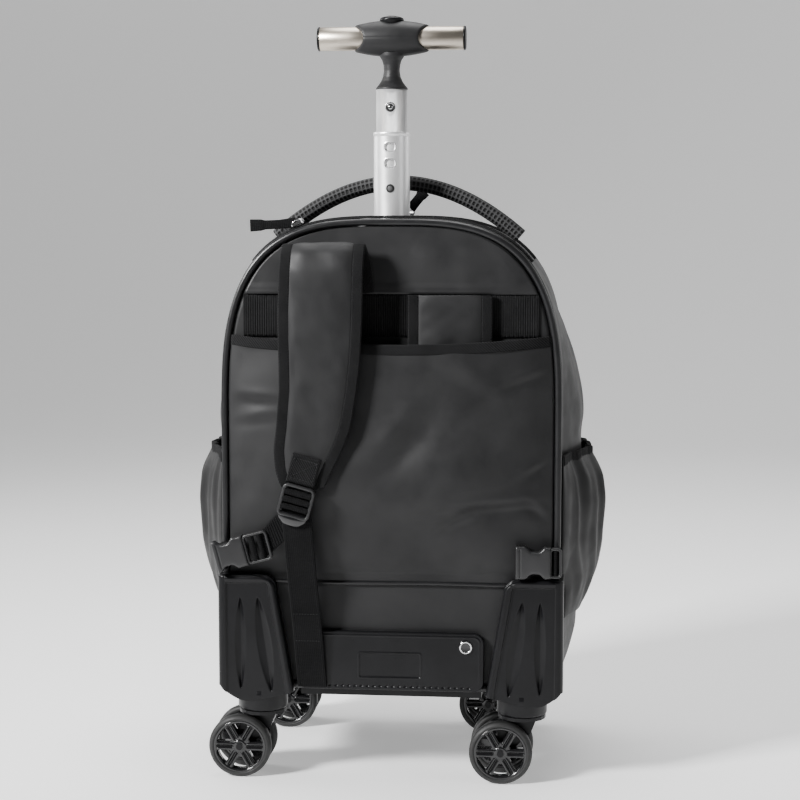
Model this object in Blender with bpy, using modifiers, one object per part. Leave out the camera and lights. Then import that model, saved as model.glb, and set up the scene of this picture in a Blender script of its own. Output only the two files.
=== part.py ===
"""Wheeled backpack with a telescoping T-handle and four twin-wheel casters. Metres, +Z up.

The straps side faces -Y. X runs to the right as seen from that side.
"""
import math

import bmesh
import bpy
import numpy as np
from mathutils import Matrix, Vector

MM = 0.001
GAP = 0.3 * MM

# Bag body
HALF_WIDTH = 144.7 * MM
BAG_TOP = 480.6 * MM
BAG_BASE = 78.0 * MM
BAG_DEPTH = 200 * MM
CROWN_HEIGHT = 170 * MM
CROWN_POWER_X = 3.2
CROWN_POWER_Z = 3.0
CROWN_STEPS = 20
BASE_CORNER = 16 * MM
WALL = 2 * MM
PANEL_THICK = 3 * MM
PIPING_RADIUS = 3 * MM
GUSSET_BULGE = 19.5 * MM
FRONT_DOME = 14 * MM

# Straps side, seen from the front
STRAP_SPAN = 71 * MM
BINDING = 9.5 * MM
STRAP_THICK = 7.5 * MM
BINDING_THICK = 4 * MM
LEFT_STRAP_X = -54.5 * MM
RIGHT_STRAP_X = 51 * MM
STAND_OFF = 27 * MM
FOLD_TOP = 459 * MM
STRAP_DROP = 205 * MM
YOKE_EDGE = 417.5 * MM
YOKE_THICK = 1.2 * MM
BAND_HEIGHT = 35 * MM
BAND_THICK = 1.8 * MM
SLEEVE_TOP = 382.5 * MM
SLEEVE_SAG = 7 * MM
SLEEVE_BASE = 180 * MM
SLEEVE_BULGE = 15 * MM
CLOTH = 1.6 * MM
RIGHT_STRAP_END = 252 * MM
WEBBING = 25 * MM
WEBBING_THICK = 1.6 * MM

# Side pockets
POCKET_BASE = 136 * MM
POCKET_TOP = 280 * MM
POCKET_SWELL = 18.5 * MM
POCKET_FRONT = 8 * MM

# Hard base
KICK_HALF = 80.5 * MM
KICK_BASE = 79 * MM
KICK_HEIGHT = 51 * MM
KICK_THICK = 3 * MM
LABEL_WIDTH = 52 * MM
LABEL_HEIGHT = 20.5 * MM
LABEL_DEPTH = 0.8 * MM
RIVET_X = 65 * MM
RIVET_Z = 118 * MM
RIVET_RADIUS = 6.2 * MM
HOUSING_TOP = 178 * MM
HOUSING_BASE = 68 * MM
HOUSING_FRONT = 12 * MM
HOUSING_WRAP = 22 * MM
HOUSING_WALL = 2.6 * MM
HOUSING_INNER_TOP = 97 * MM
HOUSING_INNER_BASE = 82 * MM
FLUTE_DEPTH = 2.2 * MM
TRAY_THICK = 6 * MM
TRAY_INSET = 4 * MM
REAR_CLEAR = 2 * MM
REAR_EXTRA = 10 * MM
LABEL_Z = 100.7 * MM
KICK_CORNER = 9 * MM
INNER_FLUTE_WIDTH = 9 * MM
OUTER_FLUTE_WIDTH = 6.5 * MM
FLUTE_TOP_DROP = 21 * MM
FLUTE_BASE_RISE = 7 * MM
COLLAR_RADIUS = 21.5 * MM

# Casters
WHEEL_RADIUS = 27 * MM
WHEEL_WIDTH = 11 * MM
TWIN_SPACING = 32 * MM
TRAIL = 17.5 * MM
AXLE_RADIUS = 3 * MM
STEM_RADIUS = 4.5 * MM
RUNNING = 0.4 * MM
FORK_DISC = 3 * MM
FRONT_STEM_X = 112.5 * MM
FRONT_STEM_Y = 12 * MM
REAR_STEM_X = 94.4 * MM
REAR_STEM_Y = 168 * MM
WINDOWS = 6

# Telescoping pole
POLE_X = -3 * MM
POLE_Y = 45 * MM
OUTER_RADIUS = 18 * MM
LOWER_RADIUS = 15.5 * MM
UPPER_RADIUS = 13.3 * MM
TUBE_WALL = 1.8 * MM
STAGE_LENGTH = 390 * MM
UPPER_SHOWN = 36 * MM
LIP = 0.5 * MM
LIP_HEIGHT = 2.5 * MM
STOP_HOLE_WIDTH = 9.6 * MM
STOP_HOLE_HEIGHT = 7 * MM
STOP_HOLE_DROPS = (13 * MM, 26.6 * MM)
EXIT_RING_HEIGHT = 4.5 * MM
EXIT_RING_RADIUS = 24 * MM
TUBE_SIDES = 20
PIN_SIDES = 12

# T-handle
GRIP_HEIGHT = 633 * MM
NECK_LENGTH = 43 * MM
NECK_PLUG = 14 * MM
GRIP_RADIUS = 10 * MM
TEE_HALF = 63.5 * MM
CORE_HALF = 34 * MM
CORE_RADIUS = 14.8 * MM
SPIGOT_RADIUS = 7 * MM
CAP_THICK = 1.6 * MM
BUTTON_RADIUS = 9.6 * MM
BUTTON_RISE = 19 * MM
BUTTON_DEPTH = 12 * MM
BUTTON_TRAVEL = 3 * MM

# The tubes hang from the grip, at the height that it is pulled out to
UPPER_TOP = GRIP_HEIGHT - NECK_LENGTH
UPPER_BASE = UPPER_TOP - STAGE_LENGTH
LOWER_TOP = UPPER_TOP - UPPER_SHOWN
LOWER_BASE = LOWER_TOP - STAGE_LENGTH + MM

# Grab handle and zips
GRAB_Y = 78 * MM
GRAB_WIDTH = 30 * MM
GRAB_THICK = 13 * MM
GRAB_TOP = 511.5 * MM
GRAB_HALF = 106.5 * MM
GRAB_DROP = 46.5 * MM
ZIP_WIDTH = 7 * MM
ZIP_HEIGHT = 1.6 * MM
BACK_ZIP_Y = 15 * MM
MAIN_ZIP_Y = 118 * MM
ZIP_REACH = 118 * MM
SLIDER_LENGTH = 10 * MM
SLIDER_HEIGHT = 3 * MM
PULL_WIDTH = 10 * MM
PULL_THICK = 2 * MM

# Buckles
BUCKLE_LENGTH = 38 * MM
BUCKLE_HEIGHT = 28 * MM
BUCKLE_THICK = 9 * MM
BUCKLE_WALL = 1.8 * MM
BUCKLE_WAIST = 3 * MM
BUCKLE_CORNER = 2.5 * MM
SLOT_EDGE = 3 * MM
SLOT_WIDTH = 4 * MM
MALE_LENGTH = 11 * MM
MALE_THICK = 6 * MM
LEFT_BUCKLE_X = -129.5 * MM
RIGHT_BUCKLE_X = 126 * MM
LEFT_BUCKLE_STAND = 17 * MM
RIGHT_BUCKLE_STAND = 14 * MM
LEFT_BUCKLE_RISE = 20.5 * MM
RIGHT_BUCKLE_RISE = 15.5 * MM
BUCKLE_TURN = math.radians(15)
ANCHOR_RISE = 5 * MM
ANCHOR_HEIGHT = 22 * MM
ANCHOR_WIDTH = 7 * MM

# Strap adjuster
TAB_SIZE = 25 * MM
TAB_THICK = 2 * MM
LOCK_SIZE = 26 * MM
LOCK_THICK = 5 * MM
LOCK_RIM = 3 * MM
LEAN = math.radians(-15)
TAB_RISE = 17 * MM
LOCK_DROP = 11 * MM
FOLDED_WEBBING = 17 * MM
STRAP_END = FOLD_TOP - STRAP_DROP
ADJUSTER_STAND = 0.88 * STAND_OFF + STRAP_THICK / 2 + GAP

# The adjuster's front face and the front panel's dome are the two ends in Y
BACK_Y = -(BAG_DEPTH + FRONT_DOME - ADJUSTER_STAND - LOCK_THICK) / 2

# height share of the bag, share of the gusset's bulge
BULGE_ROWS = (
    (0.00, 0.0), (0.04, 0.33), (0.10, 0.62), (0.17, 0.78), (0.30, 0.82),
    (0.53, 0.92), (0.57, 1.0), (0.62, 0.86), (0.69, 0.60), (0.75, 0.30), (0.82, 0.0),
)
# shares of the bag's depth at which the gusset has a section
GUSSET_SECTIONS = (0.0, 0.14, 0.30, 0.50, 0.70, 0.86, 1.0)
GUSSET_FLAT = 0.14
# share of the straight side's height, going down
SIDE_LEVELS = (0.0, 0.15, 0.35, 0.60, 0.85)
# outline's share, share of the front panel's dome
DOME_ROWS = ((0.25, 1.0), (0.70, 0.80), (0.92, 0.32), (1.0, 0.0))
# share of the pocket's height, share of its swell
SWELL_ROWS = ((0.0, 0.04), (0.07, 0.32), (0.22, 0.72), (0.40, 0.95), (0.70, 1.0), (1.0, 0.5))
# drop from the fold in shares of STRAP_DROP, stand-off share, left and right edge in widths
STRAP_ROWS = (
    (0.200, 0.23, -0.40, 0.59), (0.100, 0.23, -0.43, 0.56), (0.035, 0.34, -0.46, 0.52),
    (0.000, 0.62, -0.48, 0.50), (0.035, 0.88, -0.49, 0.50), (0.100, 1.00, -0.50, 0.49),
    (0.290, 1.00, -0.52, 0.48), (0.480, 1.00, -0.51, 0.45), (0.590, 0.97, -0.51, 0.41),
    (0.740, 0.93, -0.55, 0.34), (0.840, 0.88, -0.59, 0.23), (0.920, 0.88, -0.57, 0.11),
    (1.000, 0.88, -0.49, 0.01),
)
STOWED_STAND = 0.23
# X in strap widths from the left strap's middle, share of the adjuster's stand-off,
# height share between the kick plate's base and the strap's end
TAIL_ROWS = (
    (-0.317, 1.0, 0.983), (-0.303, 1.0, 0.840), (-0.261, 0.767, 0.577), (-0.218, 0.505, 0.337), (-0.166, 0.300, 0.0143),
)
# the same for the folded webbing that runs to the left buckle, and the angle of its width in degrees
FOLD_ROWS = ((-0.387, 0.786, 0.914, 40), (-0.542, 0.674, 0.840, 42), (-0.635, 0.420, 0.777, 60))
# x, and height from the bag's top
BACK_PULL_ROWS = ((-86.2 * MM, -3.8 * MM), (-100 * MM, -5.1 * MM), (-121 * MM, -6.1 * MM))
MAIN_PULL_ROWS = ((6.4 * MM, 8.4 * MM), (13 * MM, 16.4 * MM), (19 * MM, 23.9 * MM))


def clear_scene():
    for thing in list(bpy.data.objects):
        bpy.data.objects.remove(thing, do_unlink=True)


def collection(name, hidden=False):
    group = bpy.data.collections.new(name)
    bpy.context.scene.collection.children.link(group)
    group.hide_render = hidden
    return group


def material(name, colour, rough, metal=0.0):
    mat = bpy.data.materials.get(name)
    if mat is None:
        mat = bpy.data.materials.new(name)
        mat.use_nodes = True
        shader = mat.node_tree.nodes["Principled BSDF"]
        shader.inputs["Base Color"].default_value = (*colour, 1)
        shader.inputs["Roughness"].default_value = rough
        shader.inputs["Metallic"].default_value = metal
    return mat


def coated_fabric():
    return material("coated_fabric", (0.035, 0.036, 0.038), 0.55)


def twill():
    return material("twill_webbing", (0.015, 0.015, 0.016), 0.8)


def piping_vinyl():
    return material("piping_vinyl", (0.012, 0.012, 0.013), 0.35)


def moulded_plastic():
    return material("moulded_plastic", (0.022, 0.022, 0.024), 0.45)


def brushed_aluminium():
    return material("brushed_aluminium", (0.78, 0.78, 0.80), 0.3, 1.0)


def grip_metal():
    return material("grip_metal", (0.62, 0.57, 0.50), 0.35, 1.0)


def soft_rubber():
    return material("soft_rubber", (0.02, 0.02, 0.021), 0.65)


def bright_steel():
    return material("bright_steel", (0.75, 0.75, 0.76), 0.2, 1.0)


def tyre_rubber():
    return material("tyre_rubber", (0.014, 0.014, 0.015), 0.5)


def finish(obj, group, mat, smooth=True):
    group.objects.link(obj)
    if mat is not None:
        obj.data.materials.append(mat)
    if smooth and obj.type == "MESH":
        for face in obj.data.polygons:
            face.use_smooth = True
    return obj


def mesh_object(name, points, faces, group, mat=None, smooth=True):
    """A mesh object whose faces are turned outwards."""
    mesh = bpy.data.meshes.new(name)
    mesh.from_pydata([tuple(map(float, p)) for p in points], [], faces)
    bm = bmesh.new()
    bm.from_mesh(mesh)
    bmesh.ops.recalc_face_normals(bm, faces=bm.faces)
    bm.to_mesh(mesh)
    bm.free()
    return finish(bpy.data.objects.new(name, mesh), group, mat, smooth)


def loft(name, rings, group, mat=None, ends=True, smooth=True):
    """Closed sections joined in order, with a cap at each end or back to the first."""
    rings = np.asarray(rings, float)
    count, around = rings.shape[:2]
    faces = []
    for row in range(count if not ends else count - 1):
        below = row * around
        above = (row + 1) % count * around
        for k in range(around):
            n = (k + 1) % around
            faces.append((below + k, below + n, above + n, above + k))
    if ends:
        faces.append(tuple(range(around)))
        faces.append(tuple(range((count - 1) * around, count * around)))
    return mesh_object(name, rings.reshape(-1, 3), faces, group, mat, smooth)


def sheet(name, front, back, group, mat=None):
    """A sheet with a front and a back grid of points, closed round its border."""
    front = np.asarray(front, float)
    back = np.asarray(back, float)
    rows, columns = front.shape[:2]
    size = rows * columns
    faces = []
    for r in range(rows - 1):
        for c in range(columns - 1):
            a = r * columns + c
            faces.append((a, a + 1, a + columns + 1, a + columns))
            faces.append((size + a, size + a + columns, size + a + columns + 1, size + a + 1))
    rim = [c for c in range(columns)]
    rim += [r * columns + columns - 1 for r in range(1, rows)]
    rim += [(rows - 1) * columns + c for c in range(columns - 2, -1, -1)]
    rim += [r * columns for r in range(rows - 2, 0, -1)]
    for here, there in zip(rim, rim[1:] + rim[:1]):
        faces.append((here, size + here, size + there, there))
    return mesh_object(name, np.concatenate([front.reshape(-1, 3), back.reshape(-1, 3)]), faces, group, mat)


def tube_along(name, points, radius, group, mat, resolution=1, cyclic=False):
    """A round cord along a list of points."""
    curve = bpy.data.curves.new(name, "CURVE")
    curve.dimensions = "3D"
    spline = curve.splines.new("POLY")
    spline.points.add(len(points) - 1)
    for here, point in zip(spline.points, points):
        here.co = (*point, 1)
    spline.use_cyclic_u = cyclic
    curve.bevel_depth = radius
    curve.bevel_resolution = resolution
    curve.use_fill_caps = not cyclic
    return finish(bpy.data.objects.new(name, curve), group, mat)


def flat_mesh(name, outlines, thickness):
    """A mesh of flat outlines in XY, extruded evenly about z = 0."""
    curve = bpy.data.curves.new(name, "CURVE")
    curve.dimensions = "2D"
    curve.fill_mode = "BOTH"
    curve.extrude = thickness / 2
    for outline_points in outlines:
        spline = curve.splines.new("POLY")
        spline.points.add(len(outline_points) - 1)
        for here, point in zip(spline.points, outline_points):
            here.co = (point[0], point[1], 0, 1)
        spline.use_cyclic_u = True
    holder = bpy.data.objects.new(name, curve)
    mesh = bpy.data.meshes.new_from_object(holder)
    bpy.data.objects.remove(holder)
    bm = bmesh.new()
    bm.from_mesh(mesh)
    bmesh.ops.remove_doubles(bm, verts=bm.verts, dist=1e-6)
    bmesh.ops.recalc_face_normals(bm, faces=bm.faces)
    bm.to_mesh(mesh)
    bm.free()
    mesh.name = name
    return mesh


def plate(name, outlines, thickness, group, mat=None):
    return finish(bpy.data.objects.new(name, flat_mesh(name, outlines, thickness)), group, mat, False)


def stand_up(obj, front_y, thickness, x=0.0, z=0.0, turn=0.0):
    """Turns a flat piece so that it stands in XZ with its front face at front_y."""
    obj.rotation_euler = (math.pi / 2, 0, 0)
    if turn:
        obj.matrix_world = Matrix.Rotation(turn, 4, "Y") @ Matrix.Rotation(math.pi / 2, 4, "X")
    obj.location = (x, front_y + thickness / 2, z)
    return obj


def box(name, low, high, group, mat=None):
    mesh = bpy.data.meshes.new(name)
    bm = bmesh.new()
    bmesh.ops.create_cube(bm, size=1)
    low = Vector(low)
    high = Vector(high)
    for vert in bm.verts:
        vert.co = Vector((low[i] + (vert.co[i] + 0.5) * (high[i] - low[i]) for i in range(3)))
    bm.to_mesh(mesh)
    bm.free()
    return finish(bpy.data.objects.new(name, mesh), group, mat, False)


def rod(name, radius, start, end, group, mat=None, sides=TUBE_SIDES, axis="Z"):
    """A cylinder from start to end along an axis through the object's origin."""
    mesh = bpy.data.meshes.new(name)
    bm = bmesh.new()
    made = bmesh.ops.create_cone(
        bm, cap_ends=True, segments=sides, radius1=radius, radius2=radius, depth=end - start
    )
    bmesh.ops.translate(bm, verts=made["verts"], vec=(0, 0, (start + end) / 2))
    if axis == "Y":
        bmesh.ops.rotate(bm, verts=bm.verts, matrix=Matrix.Rotation(-math.pi / 2, 3, "X"))
    if axis == "X":
        bmesh.ops.rotate(bm, verts=bm.verts, matrix=Matrix.Rotation(math.pi / 2, 3, "Y"))
    bm.to_mesh(mesh)
    bm.free()
    return finish(bpy.data.objects.new(name, mesh), group, mat)


def turned(name, profile, group, mat=None, steps=TUBE_SIDES, axis="Z", closed=False):
    """A profile of (radius, height) rows turned about an axis with a Screw."""
    place = {"Z": lambda r, h: (r, 0, h), "X": lambda r, h: (h, r, 0)}[axis]
    mesh = bpy.data.meshes.new(name)
    edges = [(k, k + 1) for k in range(len(profile) - 1)]
    if closed:
        edges.append((len(profile) - 1, 0))
    mesh.from_pydata([place(r, h) for r, h in profile], edges, [])
    holder = bpy.data.objects.new(name, mesh)
    bpy.context.scene.collection.objects.link(holder)
    screw = holder.modifiers.new("Turn", "SCREW")
    screw.axis = axis
    screw.steps = steps
    screw.render_steps = steps
    screw.use_merge_vertices = True
    screw.merge_threshold = 0.00001
    screw.use_normal_calculate = True
    result = bpy.data.meshes.new_from_object(holder.evaluated_get(bpy.context.evaluated_depsgraph_get()))
    bpy.data.objects.remove(holder)
    bm = bmesh.new()
    bm.from_mesh(result)
    bmesh.ops.remove_doubles(bm, verts=bm.verts, dist=1e-6)
    bmesh.ops.recalc_face_normals(bm, faces=bm.faces)
    bm.to_mesh(result)
    bm.free()
    result.name = name
    return finish(bpy.data.objects.new(name, result), group, mat)


def boolean(obj, other, operation="DIFFERENCE"):
    modifier = obj.modifiers.new(operation.title(), "BOOLEAN")
    modifier.operation = operation
    modifier.object = other
    modifier.solver = "EXACT"


def bevel(obj, width, segments=1, angle=40):
    modifier = obj.modifiers.new("Rounded edges", "BEVEL")
    modifier.width = width
    modifier.segments = segments
    modifier.limit_method = "ANGLE"
    modifier.angle_limit = math.radians(angle)


def baked(obj):
    """The object with its modifiers made real, so that copies can share the mesh."""
    bpy.context.view_layer.update()
    graph = bpy.context.evaluated_depsgraph_get()
    mesh = bpy.data.meshes.new_from_object(obj.evaluated_get(graph))
    obj.modifiers.clear()
    obj.data = mesh
    return obj


def outline(inset):
    """The bag's outline as seen from the straps side, as (x, z) points, drawn inwards by inset."""
    half = HALF_WIDTH - inset
    shoulder = BAG_TOP - CROWN_HEIGHT
    rise = CROWN_HEIGHT - inset
    base = BAG_BASE + inset
    corner = max(BASE_CORNER - inset, 2 * MM)
    points = []
    for k in range(CROWN_STEPS + 1):
        t = math.pi * k / CROWN_STEPS
        c, s = math.cos(t), max(math.sin(t), 0.0)
        x = half * math.copysign(abs(c) ** (2 / CROWN_POWER_X), c)
        points.append((x, shoulder + rise * s ** (2 / CROWN_POWER_Z)))
    low = base + corner
    levels = [shoulder + (low - shoulder) * share for share in SIDE_LEVELS[1:]]
    left = [(-half, z) for z in levels]
    for k in range(4):
        t = math.pi / 2 * k / 3
        left.append((-half + corner * (1 - math.cos(t)), base + corner * (1 - math.sin(t))))
    right = [(-x, z) for x, z in reversed(left)]
    return points + left + right


def crown_z(x, lift=0.0):
    """The height of the bag's top at x, with the outline moved outwards by lift."""
    share = min(abs(x) / (HALF_WIDTH + lift), 1.0)
    rise = (1 - share ** CROWN_POWER_X) ** (1 / CROWN_POWER_Z)
    return BAG_TOP - CROWN_HEIGHT + (CROWN_HEIGHT + lift) * rise


def half_at(z):
    """The outline's half width at a height."""
    rise = max(z - (BAG_TOP - CROWN_HEIGHT), 0.0) / CROWN_HEIGHT
    return HALF_WIDTH * max(1 - rise ** CROWN_POWER_Z, 0.0) ** (1 / CROWN_POWER_X)


def gusset_push(z, depth_share):
    """How far the gusset stands out sideways at a height and a share of the depth."""
    share = (z - BAG_BASE) / (BAG_TOP - BAG_BASE)
    along = (depth_share - GUSSET_FLAT) / (1 - 2 * GUSSET_FLAT)
    round_part = math.sin(math.pi * min(max(along, 0.0), 1.0))
    return GUSSET_BULGE * float(np.interp(share, *zip(*BULGE_ROWS))) * round_part


def y_at(distance):
    """The Y of a place this far behind the straps side's panel."""
    return BACK_Y + distance


def build_gusset(bag, cutters):
    start = PIPING_RADIUS + GAP
    rings = []
    for inset in (0, WALL):
        sections = GUSSET_SECTIONS if inset == 0 else tuple(reversed(GUSSET_SECTIONS))
        for share in sections:
            y = y_at(start + share * (BAG_DEPTH - 2 * start))
            rings.append([
                (x + math.copysign(gusset_push(z, share), x) * (abs(x) > HALF_WIDTH / 2), y, z)
                for x, z in outline(inset)
            ])
    gusset = loft("gusset", rings, bag, coated_fabric(), ends=False)
    hole = rod("pole_hole", OUTER_RADIUS + 2 * GAP, BAG_TOP - 30 * MM, BAG_TOP + 30 * MM, cutters)
    hole.location = (POLE_X, y_at(POLE_Y), 0)
    boolean(gusset, hole)


def build_panels(bag):
    inset = 2 * PIPING_RADIUS + GAP
    back = plate("back_panel", [outline(inset)], PANEL_THICK, bag, coated_fabric())
    stand_up(back, y_at(0), PANEL_THICK)
    middle = (BAG_TOP + BAG_BASE) / 2
    rings = []
    for side, rows in ((0, DOME_ROWS), (PANEL_THICK, tuple(reversed(DOME_ROWS)))):
        for size, rise in rows:
            y = y_at(BAG_DEPTH + FRONT_DOME * rise - side)
            rings.append([(x * size, y, middle + (z - middle) * size) for x, z in outline(inset)])
    loft("front_panel", rings, bag, coated_fabric())
    ring = outline(PIPING_RADIUS)
    for name, place in (("back_piping", 0), ("front_piping", BAG_DEPTH)):
        cord = [(x, y_at(place), z) for x, z in ring]
        tube_along(name, cord, PIPING_RADIUS, bag, piping_vinyl(), 1, True)


def build_yoke_and_band(bag):
    inset = 2 * PIPING_RADIUS + 6 * GAP
    crown = [(x, z) for x, z in outline(inset) if z > YOKE_EDGE + MM]
    side = half_at(YOKE_EDGE) - inset
    crown = [(side, YOKE_EDGE)] + crown + [(-side, YOKE_EDGE)]
    yoke = plate("top_yoke", [crown], YOKE_THICK, bag, coated_fabric())
    stand_up(yoke, y_at(-YOKE_THICK - GAP), YOKE_THICK)
    low = YOKE_EDGE - GAP - BAND_HEIGHT
    reach = half_at(YOKE_EDGE) - inset
    box(
        "webbing_band",
        (-reach, y_at(-BAND_THICK - GAP), low),
        (reach, y_at(-GAP), YOKE_EDGE - GAP),
        bag,
        twill(),
    )


def sleeve_point(across, height, lift):
    """A point of the strap sleeve's inner face, moved out by lift. across runs from -1 to 1."""
    top = sleeve_top(across)
    share = (height - SLEEVE_BASE) / (top - SLEEVE_BASE)
    bulge = SLEEVE_BULGE * (1 - across ** 4) * (1 - (1 - share) ** 6)
    half = half_at(height) - 2 * PIPING_RADIUS - 3 * GAP
    return (across * half, y_at(-GAP - bulge - lift), height)


def sleeve_top(across):
    return SLEEVE_TOP - SLEEVE_SAG * (1 - across ** 2)


def build_sleeve(bag):
    columns = np.linspace(-1, 1, 17)
    shares = (0.0, 0.06, 0.14, 0.25, 0.45, 0.7, 1.0)

    def grid(lift):
        return [
            [sleeve_point(u, SLEEVE_BASE + share * (sleeve_top(u) - SLEEVE_BASE), lift) for u in columns]
            for share in shares
        ]

    sheet("strap_sleeve", grid(CLOTH), grid(0), bag, coated_fabric())


def strap_frame(share):
    """Centre line, edges and outward direction of the hanging strap at a share of its length."""
    rows = np.array(STRAP_ROWS)
    heights = FOLD_TOP - rows[:, 0] * STRAP_DROP
    stands = -rows[:, 1] * STAND_OFF
    steps = np.hypot(np.diff(heights), np.diff(stands))
    along = np.concatenate([[0], np.cumsum(steps)])
    s = share * along[-1]
    y = np.interp(s, along, stands)
    z = np.interp(s, along, heights)
    nudge = 2 * MM
    before, after = max(s - nudge, 0), min(s + nudge, along[-1])
    ty = np.interp(after, along, stands) - np.interp(before, along, stands)
    tz = np.interp(after, along, heights) - np.interp(before, along, heights)
    size = math.hypot(ty, tz)
    out = (tz / size, -ty / size)
    left = LEFT_STRAP_X + STRAP_SPAN * np.interp(s, along, rows[:, 2])
    right = LEFT_STRAP_X + STRAP_SPAN * np.interp(s, along, rows[:, 3])
    return y, z, out, left, right, along[-1]


def hanging_point(across, share, lift):
    y, z, out, left, right, _ = strap_frame(share)
    x = left + (across + 1) / 2 * (right - left)
    return (x, y_at(y + out[0] * lift), z + out[1] * lift)


def stowed_point(across, share, lift):
    top = YOKE_EDGE - 2 * GAP
    z = top + (RIGHT_STRAP_END - top) * share
    return (RIGHT_STRAP_X + across * STRAP_SPAN / 2, y_at(-STOWED_STAND * STAND_OFF - lift), z)


def build_strap(side, point, width_at, length, rows, bag):
    """One padded strap and the binding that runs down, round and up its edge."""
    def edge(share):
        return 2 * BINDING / width_at(share)

    end = 1 - BINDING / length
    inner_gap = 2 * GAP / STRAP_SPAN
    columns = np.linspace(-1, 1, 5)
    padded = [share for share in rows if share < end - 0.02] + [end - GAP / length]

    def pad(sign):
        made = []
        for share in padded:
            reach = 1 - edge(share) - inner_gap
            made.append([
                point(u * reach, share, sign * (BINDING_THICK + (STRAP_THICK - BINDING_THICK) * (1 - u ** 4)) / 2)
                for u in columns
            ])
        return made

    sheet("shoulder_strap_" + side, pad(1), pad(-1), bag, coated_fabric())
    route = [(-1, share) for share in rows[:-1]]
    route += [(u, 1.0) for u in (-1, -0.3, 0.3, 1)]
    route += [(1, share) for share in reversed(rows[:-1])]

    def band(sign):
        made = []
        for across, share in route:
            outer = point(across, share, sign * BINDING_THICK / 2)
            inner_share = min(share, end)
            reach = 1 - edge(inner_share)
            inner = point(max(min(across, reach), -reach), inner_share, sign * BINDING_THICK / 2)
            made.append([outer, inner])
        return made

    sheet("strap_binding_" + side, band(1), band(-1), bag, twill())


def build_straps(bag):
    length = strap_frame(0)[5]
    rows = np.array(STRAP_ROWS)
    steps = np.hypot(np.diff(rows[:, 0]) * STRAP_DROP, np.diff(rows[:, 1]) * STAND_OFF)
    shares = list(np.concatenate([[0], np.cumsum(steps)]) / steps.sum())

    def hanging_width(share):
        _, _, _, left, right, _ = strap_frame(share)
        return right - left

    build_strap("left", hanging_point, hanging_width, length, shares, bag)
    stowed = YOKE_EDGE - RIGHT_STRAP_END
    build_strap("right", stowed_point, lambda share: STRAP_SPAN, stowed, [0, 0.33, 0.66, 0.9, 1.0], bag)


def ribbon(name, rows, width, thickness, bag, mat):
    """Flat webbing through rows of (x, distance from the panel, z, angle of its width)."""
    front, back = [], []
    rows = [np.array(row, float) for row in rows]
    for k, (x, stand, z, turn) in enumerate(rows):
        side = np.array([math.cos(turn), 0, math.sin(turn)])
        before, after = rows[max(k - 1, 0)][:3], rows[min(k + 1, len(rows) - 1)][:3]
        run = (after - before) * (1, -1, 1)
        out = np.cross(run, side)
        out /= np.linalg.norm(out)
        if out[1] > 0:
            out = -out
        centre = np.array([x, y_at(-stand), z])
        front.append([centre - side * width / 2 + out * thickness / 2, centre + side * width / 2 + out * thickness / 2])
        back.append([centre - side * width / 2 - out * thickness / 2, centre + side * width / 2 - out * thickness / 2])
    made = sheet(name, front, back, bag, mat)
    bm = bmesh.new()
    bm.from_mesh(made.data)
    bmesh.ops.triangulate(bm, faces=bm.faces)
    bm.to_mesh(made.data)
    bm.free()
    return made


def hung_rows(rows, stand):
    """Places for webbing from rows of shares, as (x, distance from the panel, z)."""
    drop = STRAP_END - KICK_BASE
    return [(LEFT_STRAP_X + row[0] * STRAP_SPAN, row[1] * stand, KICK_BASE + row[2] * drop) for row in rows]


def build_adjuster(bag, cutters):
    lean = LEAN
    tab_x, tab_z = LEFT_STRAP_X - 0.218 * STRAP_SPAN, STRAP_END + TAB_RISE
    half = TAB_SIZE / 2
    tab = box("strap_tab", (-half, 0, -half), (half, TAB_THICK, half), bag, twill())
    tab.matrix_world = Matrix.Rotation(-lean, 4, "Y")
    tab.location = (tab_x, y_at(-ADJUSTER_STAND - TAB_THICK), tab_z)
    bevel(tab, 0.5 * MM)
    lock_x, lock_z = LEFT_STRAP_X - 0.3225 * STRAP_SPAN, STRAP_END - LOCK_DROP
    half = LOCK_SIZE / 2
    lock = box("ladder_lock", (-half, 0, -half), (half, LOCK_THICK, half), bag, moulded_plastic())
    reach = half - LOCK_RIM
    for k, share in enumerate((-0.58, 0, 0.58)):
        low, high = half * (share - 0.15), half * (share + 0.15)
        slot = box(f"lock_slot_{k}", (-reach, -LOCK_THICK, low), (reach, 2 * LOCK_THICK, high), cutters)
        slot.parent = lock
        boolean(lock, slot)
    lock.matrix_world = Matrix.Rotation(-lean, 4, "Y")
    lock.location = (lock_x, y_at(-ADJUSTER_STAND - LOCK_THICK), lock_z)
    behind = ADJUSTER_STAND - GAP - WEBBING_THICK / 2
    folds = [(*place, math.radians(row[3])) for place, row in zip(hung_rows(FOLD_ROWS, behind), FOLD_ROWS)]
    ribbon("strap_webbing", folds, FOLDED_WEBBING, WEBBING_THICK, bag, twill())
    tail = [(*place, 0) for place in hung_rows(TAIL_ROWS, behind)]
    ribbon("webbing_tail", tail, WEBBING, WEBBING_THICK, bag, twill())


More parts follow.
